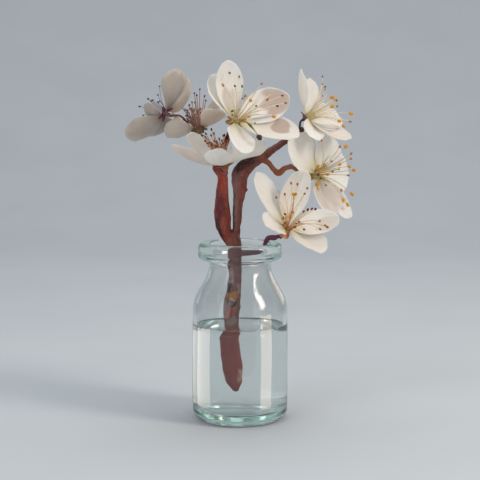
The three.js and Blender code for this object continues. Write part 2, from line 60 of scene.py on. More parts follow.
# Each ring of a tube's rounded end: how far out and how wide it is, in shares of the tube's radius
CAP_RINGS = ((0.5, 0.87), (0.85, 0.53))
# The sockets of a colour mix: its share, the colour under, the colour over, and the mixed one that comes out
SHARE, UNDER, OVER, MIXED = 0, 6, 7, 2


# Small tools


def linear(code: str) -> tuple[float, float, float, float]:
    """Turn an sRGB colour to linear light.

    Args:
        code: six hex digits, such as "f2ece2".

    Returns:
        Red, green and blue in linear light, and an alpha of 1.
    """
    levels = [int(code[k : k + 2], 16) / 255 for k in (0, 2, 4)]
    lit = [v / 12.92 if v <= 0.04045 else ((v + 0.055) / 1.055) ** 2.4 for v in levels]
    return (lit[0], lit[1], lit[2], 1.0)


def per_metre(millimetres: float) -> float:
    """The texture scale whose features are this size."""
    return 1.0 / (millimetres * MM)


def unit(vectors: Array) -> Array:
    """Each vector divided by its length."""
    return vectors / np.maximum(np.linalg.norm(vectors, axis=-1, keepdims=True), 1e-12)


def draw(numbers: Array | float) -> Array:
    """A repeatable value from 0 to 1 for each number: the fraction left of a large multiple of its sine."""
    value = np.sin(np.asarray(numbers, float) * 12.9898) * 43758.5453
    return value - np.floor(value)


def ease(values: Array, low: float, high: float) -> Array:
    """A smooth step: 0 up to low, 1 from high on, and an S-curve of 3t squared less 2t cubed between them."""
    t = np.clip((values - low) / (high - low), 0, 1)
    return t * t * (3 - 2 * t)


def smooth_noise(points: Array, period: float, seed: float) -> Array:
    """Smooth noise over space.

    Each corner of a cubic lattice has a draw, and a point blends the eight round it by an S-curve along each
    axis.

    Args:
        points: places in millimetres, one in each row.
        period: the lattice's spacing in millimetres.
        seed: picks another set of draws.

    Returns:
        A value from -1 to 1 for each point.
    """
    cell = np.floor(points / period)
    t = points / period - cell
    t = t * t * (3 - 2 * t)
    total = np.zeros(points.shape[:-1])
    for corner in np.ndindex(2, 2, 2):
        share = np.prod(np.where(np.array(corner) == 1, t, 1 - t), axis=-1)
        total += share * draw((cell + corner) @ np.array([1.0, 57.31, 113.77]) + seed)
    return 2 * total - 1


def turned_about(vectors: Array, axis: Array, angles: Array) -> Array:
    """Turn vectors about a unit axis: v cos a, plus axis x v times sin a, plus the part along the axis.

    Args:
        vectors: the vectors.
        axis: the unit axis.
        angles: an angle in radians for each vector.

    Returns:
        The turned vectors.
    """
    c, s = np.cos(angles)[..., None], np.sin(angles)[..., None]
    along = (vectors @ axis)[..., None] * axis
    return vectors * c + np.cross(axis, vectors) * s + along * (1 - c)


def upright_frame(axis: Array) -> tuple[Array, Array]:
    """Two unit vectors square to an axis and to each other.

    Args:
        axis: a unit vector.

    Returns:
        The two vectors.
    """
    helper = np.array([0.0, 0.0, 1.0]) if abs(axis[2]) < 0.9 else np.array([1.0, 0.0, 0.0])
    first = unit(np.cross(axis, helper))
    return first, np.cross(axis, first)


def stood_along(points: Array, axis: Array) -> Array:
    """Points turned so that their Z axis runs along this one."""
    first, second = upright_frame(axis)
    return points[:, :1] * first + points[:, 1:2] * second + points[:, 2:] * axis


# Surfaces


def grid_faces(rows: int, columns: int, wrap: bool = False) -> Array:
    """Quads over a grid of points.

    Args:
        rows: rows of points.
        columns: points in a row.
        wrap: whether the last column joins the first.

    Returns:
        Four point numbers for each quad.
    """
    i, j = np.meshgrid(np.arange(rows - 1), np.arange(columns if wrap else columns - 1), indexing="ij")
    k = (j + 1) % columns
    here, above = i * columns, (i + 1) * columns
    return np.stack([here + j, here + k, above + k, above + j], axis=-1).reshape(-1, 4)


def volume(points: Array, faces: Faces) -> float:
    """Six times the volume inside a closed surface: the sum of each fan triangle's triple product.

    Args:
        points: the surface's points.
        faces: its faces, of three or four points each.

    Returns:
        The value, which is negative where the faces point inwards.
    """
    total = 0.0
    for count in (3, 4):
        same = np.array([face for face in faces if len(face) == count], int).reshape(-1, count)
        for k in range(1, count - 1):
            a, b, c = points[same[:, 0]], points[same[:, k]], points[same[:, k + 1]]
            total += float(np.einsum("ij,ij->", a, np.cross(b, c)))
    return total


@dataclass
class Shell:
    """Closed surfaces gathered for one mesh, in millimetres, with values at their points."""

    points: list[Array] = field(default_factory=list)
    faces: Faces = field(default_factory=list)
    values: dict[str, list[Array]] = field(default_factory=dict)
    count: int = 0

    def add(self, points: Array, faces: Faces, **values: Array) -> None:
        """Add a closed surface, turned so that its faces point outwards.

        Args:
            points: its points in millimetres.
            faces: point numbers of each face, counted from its own first point.
            values: numbers or colours at its points, by name. Each surface of a shell gives the same names.
        """
        if volume(points, faces) < 0:
            faces = [face[::-1] for face in faces]
        self.points.append(points)
        self.faces.extend([[k + self.count for k in face] for face in faces])
        for name, value in values.items():
            spread = np.broadcast_to(value, (len(points), *np.shape(value)[1:]))
            self.values.setdefault(name, []).append(spread)
        self.count += len(points)

    def mesh(self, name: str) -> bpy.types.Mesh:
        """The surfaces as one mesh in metres.

        Args:
            name: the mesh's name.

        Returns:
            The mesh.
        """
        mesh = bpy.data.meshes.new(name)
        mesh.from_pydata((np.vstack(self.points) * MM).tolist(), [], self.faces)
        return mesh

    def make(self, name: str, material: Material, slot: str, nodes: list[str]) -> Piece:
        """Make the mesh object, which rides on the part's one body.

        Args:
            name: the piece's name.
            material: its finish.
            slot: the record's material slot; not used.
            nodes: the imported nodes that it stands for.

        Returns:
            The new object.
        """
        mesh = self.mesh(name)
        for title, parts in self.values.items():
            give(mesh, title, np.concatenate(parts))
        mesh.shade_smooth()
        mesh.validate()
        return dress(bpy.data.objects.new(name, mesh), material, nodes)


def give(mesh: bpy.types.Mesh, title: str, values: Array) -> None:
    """Store a number, a pair or a colour for each point of a mesh, as an attribute that its finish reads.

    Args:
        mesh: the mesh.
        title: the attribute's name.
        values: one value, pair or colour for each point.
    """
    width = 1 if values.ndim == 1 else values.shape[1]
    kind, key = {1: ("FLOAT", "value"), 2: ("FLOAT2", "vector"), 4: ("FLOAT_COLOR", "color")}[width]
    mesh.attributes.new(title, kind, "POINT").data.foreach_set(key, values.astype(np.float32).ravel())


def dress(piece: Piece, material: Material, nodes: list[str]) -> Piece:
    """Link a piece to the scene with its finish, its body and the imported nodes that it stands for.

    Args:
        piece: the object.
        material: its finish.
        nodes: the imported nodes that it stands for.

    Returns:
        The same object.
    """
    bpy.context.scene.collection.objects.link(piece)
    piece.data.materials.clear()
    piece.data.materials.append(material)
    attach(piece, "root")
    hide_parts(*nodes)
    log.info("%s: %d points", piece.name, len(piece.data.vertices))
    return piece


def spline(stations: Array, count: int) -> Array:
    """Points at equal steps along a smooth curve through stations.

    The curve is a centripetal Catmull-Rom spline: between two stations it is a cubic, whose end slopes come
    from the stations before and after, weighted by the square roots of their distances. Radii run straight
    between.

    Args:
        stations: rows of x, y, z and radius.
        count: how many points to give.

    Returns:
        Rows of x, y, z and radius.
    """
    place = stations[:, :3]
    padded = np.vstack([2 * place[0] - place[1], place, 2 * place[-1] - place[-2]])
    fine = np.linspace(0, len(place) - 1, 24 * (len(place) - 1) + 1)
    part = np.minimum(fine.astype(int), len(place) - 2)
    t = (fine - part)[:, None]
    p0, p1, p2, p3 = (padded[part + k] for k in range(4))
    pairs = ((p0, p1), (p1, p2), (p2, p3))
    d0, d1, d2 = (np.sqrt(np.linalg.norm(b - a, axis=1, keepdims=True)) for a, b in pairs)
    m1 = ((p1 - p0) / d0 - (p2 - p0) / (d0 + d1) + (p2 - p1) / d1) * d1
    m2 = ((p2 - p1) / d1 - (p3 - p1) / (d1 + d2) + (p3 - p2) / d2) * d1
    curve = p1 + m1 * t + (3 * (p2 - p1) - 2 * m1 - m2) * t**2 + (2 * (p1 - p2) + m1 + m2) * t**3
    radius = np.interp(fine, np.arange(len(place)), stations[:, 3])
    run = np.concatenate([[0], np.cumsum(np.linalg.norm(np.diff(curve, axis=0), axis=1))])
    at = np.linspace(0, run[-1], count)
    return np.column_stack([np.interp(at, run, column) for column in (*curve.T, radius)])


def closed_rings(rings: Array, poles: Array) -> tuple[Array, Faces]:
    """Rings of points joined by quads, with a fan of triangles to a pole at each end.

    Args:
        rings: the points of each ring.
        poles: the points before the first ring and after the last.

    Returns:
        The points and faces.
    """
    count, sides = rings.shape[:2]
    start, last = count * sides, (count - 1) * sides
    faces = grid_faces(count, sides, wrap=True).tolist()
    faces += [[start, (k + 1) % sides, k] for k in range(sides)]
    faces += [[start + 1, last + k, last + (k + 1) % sides] for k in range(sides)]
    return np.vstack([rings.reshape(-1, 3), poles]), faces


def tube(path: Array, sides: int, reference: Array) -> tuple[Array, Faces]:
    """A closed tube along a path: rings square to it, and a rounded cap over each end.

    Args:
        path: rows of x, y, z and radius.
        sides: points in a ring.
        reference: a direction that the path never runs along, from which the rings' angles are counted.

    Returns:
        The points and faces.
    """
    centre, radius = path[:, :3], path[:, 3]
    tangent = unit(np.gradient(centre, axis=0))
    first = unit(np.cross(tangent, reference))
    second = np.cross(tangent, first)
    caps = []
    for end, way in ((0, -1.0), (-1, 1.0)):
        for lift, share in CAP_RINGS:
            place = centre[end] + way * lift * radius[end] * tangent[end]
            caps.append((place, radius[end] * share, first[end], second[end]))
    rows = [caps[1], caps[0], *zip(centre, radius, first, second), caps[2], caps[3]]
    middle, size, across, other = (np.array([row[k] for row in rows]) for k in range(4))
    turn = np.linspace(0, 2 * np.pi, sides, endpoint=False)
    ring = across[:, None] * np.cos(turn)[:, None] + other[:, None] * np.sin(turn)[:, None]
    poles = np.array([centre[0] - radius[0] * tangent[0], centre[-1] + radius[-1] * tangent[-1]])
    return closed_rings(middle[:, None] + ring * size[:, None, None], poles)


def revolve(profile: Array, segments: int) -> tuple[Array, Faces]:
    """A profile of radius and height turned about Z. Its first and last points are on the axis.

    Args:
        profile: rows of radius and height.
        segments: points in a ring.

    Returns:
        The points and faces.
    """
    turn = np.linspace(0, 2 * np.pi, segments, endpoint=False)
    radius, height = profile[1:-1, :1], profile[1:-1, 1:]
    rings = np.stack([radius * np.cos(turn), radius * np.sin(turn), height + 0 * turn], axis=-1)
    return closed_rings(rings, np.array([[0, 0, profile[0, 1]], [0, 0, profile[-1, 1]]]))


def egg(girth: float, length: float, rows: int, segments: int) -> tuple[Array, Faces]:
    """An ellipsoid about Z, of this radius and half length."""
    rise = np.linspace(0, np.pi, rows)
    return revolve(np.column_stack([girth * np.sin(rise), -length * np.cos(rise)]), segments)


def arc(centre: Spot, radius: float, start: float, stop: float, count: int) -> Array:
    """Points on a circle of a profile, between two angles in degrees."""
    turn = np.radians(np.linspace(start, stop, count))
    return np.column_stack([centre[0] + radius * np.cos(turn), centre[1] + radius * np.sin(turn)])


def bezier(corners: list[Spot] | list[Array], count: int) -> Array:
    """Points on a Bezier curve: a mix of the corners, weighted by the binomial terms of 1 - t and t.

    Args:
        corners: the curve's ends, and the corners that pull it.
        count: how many points to give.

    Returns:
        The points.
    """
    t = np.linspace(0, 1, count)[:, None]
    n = len(corners) - 1
    weights = [math.comb(n, k) * (1 - t) ** (n - k) * t**k for k in range(n + 1)]
    return sum(weight * np.array(corner) for weight, corner in zip(weights, corners))


@dataclass(frozen=True)
class BladeForm:
    """The form that petals, sepals or bud scales share.

    The claw's width is a share of the widest, and the widest place a share of the length. The hollow, the
    roll and the groove are shares of the width. The thickness and the ruffle are in millimetres. Each wave is
    how many times it goes round the edge, and its share.
    """

    claw_share: float = 0.14
    widest_at: float = 0.52
    tip_power: float = 2.05
    hollow: float = 0.17
    thickness: float = 0.32
    edge_thinning: float = 0.65
    ruffle: float = 0.1
    ruffle_waves: tuple[Spot, ...] = ((4, 1.0), (7, 0.7), (13, 0.4))
    edge_wave: float = 0.012
    edge_waves: tuple[Spot, ...] = ((5, 1.0), (9, 0.6))
    roll: float = 0.05
    groove_depth: float = 0.014
    groove_width: float = 0.09
    rows: int = 44
    columns: int = 30

    def spread(self, s: Array) -> Array:
        """The width at a share s of the length, as a share of the widest.

        It is a quarter sine from the claw to the widest place, then the root of 1 less a power of the way on
        to the tip, and it closes like a circle over the first bit of the claw.

        Args:
            s: shares of the length.

        Returns:
            A share of the widest for each.
        """
        swell = np.sin(np.pi / 2 * np.clip(s / self.widest_at, 0, 1)) ** 1.1
        rise = self.claw_share + (1 - self.claw_share) * swell
        beyond = np.clip((s - self.widest_at) / (1 - self.widest_at), 0, 1)
        opening = np.sqrt(1 - (1 - np.clip(s / 0.04, 0, 1)) ** 2)
        return rise * np.sqrt(np.maximum(1 - beyond**self.tip_power, 0)) * opening


PETAL_FORM = BladeForm()
SEPAL_FORM = BladeForm(
    claw_share=0.7, widest_at=0.35, tip_power=2.0, hollow=0.05,
    thickness=0.26, ruffle=0.05, rows=16, columns=12,
)
SCALE_FORM = BladeForm(
    claw_share=0.8, widest_at=0.4, tip_power=1.8, hollow=0.22,
    thickness=0.2, ruffle=0.03, rows=12, columns=10,
)


@dataclass(frozen=True)
class Blade:
    """One petal, sepal or bud scale, laid from its claw along a chord to its tip."""

    claw: Array
    along: Array
    across: Array
    length: float
    width: float
    sag: float
    twist: float
    seed: float
    form: BladeForm

    def surface(self) -> tuple[Array, Faces, Array, Array]:
        """The blade's closed skin.

        A square grid of X and Y is bent to a disc, x = X root(1 - YY/2) and y = Y root(1 - XX/2), so that the
        edge is one round line. The disc's height gives the share s of the length, and its width there, q from
        -1 to 1, is stretched to w, q times the blade's spread at s. The face lifts by w squared for the
        hollow, sinks by 4 s (1 - s) for the sag, rolls by w s, has a groove along the middle and waves near
        its edge. The back is the same face lower by the thickness, which thins to the edge.

        Returns:
            The points, the faces, and each point's s and q.
        """
        form = self.form
        rows, columns = form.rows, form.columns
        cross, up = np.meshgrid(np.linspace(-1, 1, columns), np.linspace(-1, 1, rows))
        x, y = cross * np.sqrt(1 - up**2 / 2), up * np.sqrt(1 - cross**2 / 2)
        s = (1 + y) / 2
        q = x / np.sqrt(np.maximum(1 - y**2, 1e-9))
        rim = np.sqrt(np.clip(x**2 + y**2, 0, 1))
        w = q * form.spread(s)
        angle = np.arctan2(x, y)
        phases = 2 * np.pi * draw(self.seed + np.arange(4))
        ruffle, ripple = (
            sum(share * np.sin(times * angle + phase) for (times, share), phase in zip(waves, starts))
            for waves, starts in ((form.ruffle_waves, phases), (form.edge_waves, phases[[2, 0]]))
        )
        edge = 1 + form.edge_wave * rim**4 * ripple
        hollow = form.hollow * self.width * w**2
        sag = 4 * self.sag * s * (1 - s)
        roll = form.roll * self.width * np.sin(phases[3]) * w * s
        groove = form.groove_depth * self.width * np.exp(-((w / form.groove_width) ** 2))
        groove = groove * ease(s, 0.05, 0.3) * (1 - ease(s, 0.6, 0.95))
        lift = hollow - sag + form.ruffle * ruffle * rim**5 * ease(s, 0.25, 0.8) + roll - groove
        turn = np.radians(self.twist) * np.minimum(1, 1.6 * s)
        across = turned_about(np.broadcast_to(self.across, (*s.shape, 3)), self.along, turn)
        inward = np.cross(self.along, across)
        middle = self.claw + self.along * (self.length * s * (0.5 + 0.5 * edge))[..., None]
        middle = middle + across * (self.width / 2 * w * edge)[..., None]
        half = form.thickness / 2 * (1 - form.edge_thinning * rim**4)
        sides = [middle + inward * (lift + way * half)[..., None] for way in (1, -1)]
        top = grid_faces(rows, columns)
        layer = rows * columns
        numbers = np.arange(layer).reshape(rows, columns)
        border = np.concatenate([numbers[0], numbers[1:, -1], numbers[-1, -2::-1], numbers[-2:0:-1, 0]])
        after = np.roll(border, -1)
        strip = np.column_stack([after, border, border + layer, after + layer])
        faces = [*top.tolist(), *(top[:, ::-1] + layer).tolist(), *strip.tolist()]
        return np.concatenate(sides).reshape(-1, 3), faces, np.tile(s.ravel(), 2), np.tile(q.ravel(), 2)


# Finishes


def add_node(tree: Tree, kind: str, inputs: dict, out: int | str = 0, **settings: object) -> Socket | None:
    """Add a node to a material.

    Args:
        tree: the material's tree.
        kind: the node's type, after the word ShaderNode.
        inputs: for each input, by name or number, a value or the output that feeds it.
        out: the name or number of the output that is wanted.
        settings: its properties, by name.

    Returns:
        That output, or nothing for a node that has none.
    """
    node = tree.nodes.new("ShaderNode" + kind)
    for name, value in settings.items():
        setattr(node, name, value)
    for name, value in inputs.items():
        if isinstance(value, Socket):
            tree.links.new(value, node.inputs[name])
        else:
            node.inputs[name].default_value = value
    return node.outputs[out] if node.outputs else None


def blank(name: str) -> tuple[Material, Tree]:
    """A material without nodes, and its tree.

    Args:
        name: the material's name.

    Returns:
        The material and its tree.
    """
    material = bpy.data.materials.new(name)
    material.use_nodes = True
    material.node_tree.nodes.clear()
    return material, material.node_tree


@dataclass(frozen=True)
class GlassFinish:
    """Moulded soda-lime bottle glass: clear to look through, and blue-green where it is thick or edge on."""

    name: str = "soda_lime_bottle_glass"
    body: str = "f2f3f3"
    edge: str = "a5dccb"
    edge_share: float = 0.9
    depth_tint: str = "78e6c8"
    density: float = 10.0
    ior: float = 1.5
    roughness: float = 0.01

    def material(self) -> Material:
        """The glass, with its tint towards the edges and as absorption inside it.

        Returns:
            The material.
        """
        material, tree = blank(self.name)
        # Light that passes edge on goes through more glass, so the tint grows as the wall turns away
        facing = add_node(tree, "LayerWeight", {"Blend": 0.35}, "Facing")
        span = {0: facing, 1: 0.55, 2: 1.0, 3: 0.0, 4: self.edge_share}
        turned = add_node(tree, "MapRange", span, interpolation_type="SMOOTHSTEP")
        colours = {SHARE: turned, UNDER: linear(self.body), OVER: linear(self.edge)}
        absorbing = {"Color": linear(self.depth_tint), "Density": self.density}
        glass = {
            "Base Color": add_node(tree, "Mix", colours, MIXED, data_type="RGBA"),
            "Roughness": self.roughness,
            "IOR": self.ior,
            "Transmission Weight": 1.0,
        }
        ends = {
            "Surface": add_node(tree, "BsdfPrincipled", glass),
            "Volume": add_node(tree, "VolumeAbsorption", absorbing),
        }
        add_node(tree, "OutputMaterial", ends)
        return material


@dataclass(frozen=True)
class WaterFinish:
    """Still tap water: clear, with a sharp level line."""

    name: str = "still_water"
    body: str = "fafffe"
    ior: float = 1.333

    def material(self) -> Material:
        """The water.

        Returns:
            The material.
        """
        material, tree = blank(self.name)
        water = {
            "Base Color": linear(self.body),
            "Roughness": 0.0,
            "IOR": self.ior,
            "Transmission Weight": 1.0,
        }
        add_node(tree, "OutputMaterial", {"Surface": add_node(tree, "BsdfPrincipled", water)})
        return material


@dataclass(frozen=True)
class BarkFinish:
    """Plum bark: thin, satin and red-brown, with pale lenticels across it and grey film in streaks.

    Its measures are in millimetres.
    """

    name: str = "plum_bark"
    film: str = "9a8074"
    crack: str = "32191a"
    lenticel: str = "b98b6d"
    roughness: float = 0.62
    streak_width: float = 0.5
    patch_size: float = 2.2
    lenticel_gap: float = 0.6
    grain_size: float = 0.3
    grain_height: float = 0.18
    lenticel_height: float = 0.2

    def material(self) -> Material:
        """The bark, coloured by the tint that each branch gives its points.

        Returns:
            The material.
        """
        material, tree = blank(self.name)
        where = add_node(tree, "TexCoord", {}, "Object")
        tint = add_node(tree, "Attribute", {}, "Color", attribute_name="tint")
        age = add_node(tree, "Attribute", {}, "Fac", attribute_name="age")
        # Streaks and grain run several times as far up the bark as across it, and lenticels lie across it
        upright = add_node(tree, "Mapping", {"Vector": where, "Scale": (1.0, 1.0, 0.22)})
        level = add_node(tree, "Mapping", {"Vector": where, "Scale": (0.5, 0.5, 1.6)})
        pattern = {"Roughness": 0.55}
        patterns = (
            (upright, self.streak_width, 4.0),
            (where, self.patch_size, 3.0),
            (level, self.lenticel_gap, 1.0),
            (upright, self.grain_size, 5.0),
        )
        streak, patch, dash, grain = (
            add_node(tree, "TexNoise", pattern | {"Vector": way, "Scale": per_metre(size), "Detail": detail})
            for way, size, detail in patterns
        )
        # Each span is a noise, its low and high value, and the shares that they turn to
        spans = (
            (streak, 0.45, 0.8, 0.0, 0.3),
            (dash, 0.62, 0.76, 0.0, 0.22),
            (patch, 0.5, 0.75, 0.0, 0.25),
            (streak, 0.4, 0.25, 0.0, 0.55),
            (patch, 0.3, 0.7, self.roughness - 0.12, self.roughness + 0.15),
        )
        filmed, dashed, dappled, cracked, rough = (
            add_node(tree, "MapRange", dict(enumerate(span)), interpolation_type="SMOOTHSTEP")
            for span in spans
        )
        # Young and soaked wood has less film and fewer lenticels
        film, pale = (
            add_node(tree, "Math", {0: age, 1: share}, operation="MULTIPLY") for share in (filmed, dashed)
        )
        layers = (
            (film, linear(self.film), "MIX"),
            (dappled, tint, "MULTIPLY"),
            (cracked, linear(self.crack), "MIX"),
            (pale, linear(self.lenticel), "MIX"),
        )
        colour = tint
        for share, over, way in layers:
            colours = {SHARE: share, UNDER: colour, OVER: over}
            colour = add_node(tree, "Mix", colours, MIXED, data_type="RGBA", blend_type=way)
        relief = {"Strength": 0.7, "Distance": self.grain_height * MM, "Height": grain}
        low = add_node(tree, "Bump", relief)
        relief = {"Strength": 0.6, "Distance": self.lenticel_height * MM, "Height": pale, "Normal": low}
        bark = {
            "Base Color": colour,
            "Roughness": rough,
            "Specular IOR Level": 0.25,
            "Normal": add_node(tree, "Bump", relief),
        }
        add_node(tree, "OutputMaterial", {"Surface": add_node(tree, "BsdfPrincipled", bark)})
        return material


@dataclass(frozen=True)
class PetalFinish:
    """A plum petal: thin, matt and a little see-through, with fine veins from the claw to the edge, greyed in
    places by painted shade.

    Its measures are in millimetres.
    """

    name: str
    body: str
    claw: str
    vein: str
    shade: str
    glow: float = 0.55
    roughness: float = 0.55
    vein_gap: float = 0.4
    vein_height: float = 0.08
    cloud_size: float = 3.5
    depth: float = 1.2

    def material(self) -> Material:
        """The petal, whose veins follow its own length.

        Returns:
            The material.
        """
        material, tree = blank(self.name)
        where = add_node(tree, "TexCoord", {}, "Object")
        lie = add_node(tree, "Attribute", {}, "Vector", attribute_name="lie")
        along, dim = (
            add_node(tree, "Attribute", {}, "Fac", attribute_name=name) for name in ("along", "dim")
        )
        # Veins are many times as long as their gap. "lie" is in millimetres, so their scale is 1 over the gap
        drawn = add_node(tree, "Mapping", {"Vector": lie, "Scale": (1.0, 0.09, 1.0)})
        pattern = {"Vector": drawn, "Scale": 1 / self.vein_gap, "Detail": 2.0, "Roughness": 0.5}
        veins = add_node(tree, "TexNoise", pattern | {"Distortion": 0.3})
        pattern = {"Vector": where, "Scale": per_metre(self.cloud_size), "Detail": 2.0, "Roughness": 0.55}
        cloud = add_node(tree, "TexNoise", pattern)
        # Each span is a value, its low and high end, and the shares that they turn to
        spans = ((along, 0.02, 0.34, 0.0, 1.0), (veins, 0.52, 0.72, 0.0, 0.35), (cloud, 0.4, 0.75, 0.0, 0.25))
        opened, veined, clouded = (
            add_node(tree, "MapRange", dict(enumerate(span)), interpolation_type="SMOOTHSTEP")
            for span in spans
        )
        # The claw's colour opens to the body and takes veins and clouds. Last, painted shade greys it by each
        # point's share
        colour = linear(self.claw)
        layers = ((opened, self.body), (veined, self.vein), (clouded, self.vein), (dim, self.shade))
        for share, over in layers:
            colours = {SHARE: share, UNDER: colour, OVER: linear(over)}
            colour = add_node(tree, "Mix", colours, MIXED, data_type="RGBA")
        relief = {"Strength": 0.35, "Distance": self.vein_height * MM, "Height": veins}
        petal = {
            "Base Color": colour,
            "Roughness": self.roughness,
            "Subsurface Weight": self.glow,
            "Subsurface Radius": (1.0, 0.85, 0.7),
            "Subsurface Scale": self.depth * MM,
            "Sheen Weight": 0.12,
            "Specular IOR Level": 0.3,
            "Normal": add_node(tree, "Bump", relief),
        }
        add_node(tree, "OutputMaterial", {"Surface": add_node(tree, "BsdfPrincipled", petal)})
        return material


@dataclass(frozen=True)
class TintedFinish:
    """A small plant part coloured by its points: a waxy calyx, a thread of a filament or a mealy anther.

    Its grain, relief and depth are in millimetres.
    """

    name: str
    grain: float
    relief: float
    roughness: float
    glow: float = 0.0
    depth: float = 0.4
    hollows: tuple[float, float, float, float] = (0.78, 0.74, 0.72, 1.0)

    def material(self) -> Material:
        """The finish, with a fine grain that varies its colour and raises its surface.

        Returns:
            The material.
        """
        material, tree = blank(self.name)
        where = add_node(tree, "TexCoord", {}, "Object")
        tint = add_node(tree, "Attribute", {}, "Color", attribute_name="tint")
        pattern = {"Vector": where, "Scale": per_metre(self.grain), "Detail": 3.0, "Roughness": 0.55}
        speck = add_node(tree, "TexNoise", pattern)
        colours = {SHARE: 1.0, UNDER: tint, OVER: self.hollows}
        darker = add_node(tree, "Mix", colours, MIXED, data_type="RGBA", blend_type="MULTIPLY")
        span = {0: speck, 1: 0.35, 2: 0.65, 3: 0.0, 4: 0.8}
        raised = add_node(tree, "MapRange", span, interpolation_type="SMOOTHSTEP")
        colours = {SHARE: raised, UNDER: darker, OVER: tint}
        relief = {"Strength": 0.5, "Distance": self.relief * MM, "Height": speck}
        plant = {
            "Base Color": add_node(tree, "Mix", colours, MIXED, data_type="RGBA"),
            "Roughness": self.roughness,
            "Subsurface Weight": self.glow,
            "Subsurface Scale": self.depth * MM,
            "Normal": add_node(tree, "Bump", relief),
        }
        add_node(tree, "OutputMaterial", {"Surface": add_node(tree, "BsdfPrincipled", plant)})
        return material


@dataclass(frozen=True)
class StageFinish:
    """A matt pale studio sweep, a little uneven over its patches of this many millimetres."""

    name: str = "studio_sweep"
    body: str = "ccd1d4"
    darker: str = "aeb6bc"
    patch_size: float = 60.0
    roughness: float = 0.8

    def material(self) -> Material:
        """The sweep, with a faint unevenness.

        Returns:
            The material.
        """
        material, tree = blank(self.name)
        where = add_node(tree, "TexCoord", {}, "Object")
        pattern = {"Vector": where, "Scale": per_metre(self.patch_size), "Detail": 2.0, "Roughness": 0.55}
        span = {0: add_node(tree, "TexNoise", pattern), 1: 0.3, 2: 0.7, 3: 0.0, 4: 0.12}
        share = add_node(tree, "MapRange", span, interpolation_type="SMOOTHSTEP")
        colours = {SHARE: share, UNDER: linear(self.body), OVER: linear(self.darker)}
        sweep = {
            "Base Color": add_node(tree, "Mix", colours, MIXED, data_type="RGBA"),
            "Roughness": self.roughness,
            "Specular IOR Level": 0.0,
        }
        add_node(tree, "OutputMaterial", {"Surface": add_node(tree, "BsdfPrincipled", sweep)})
        return material


# The vial and its water


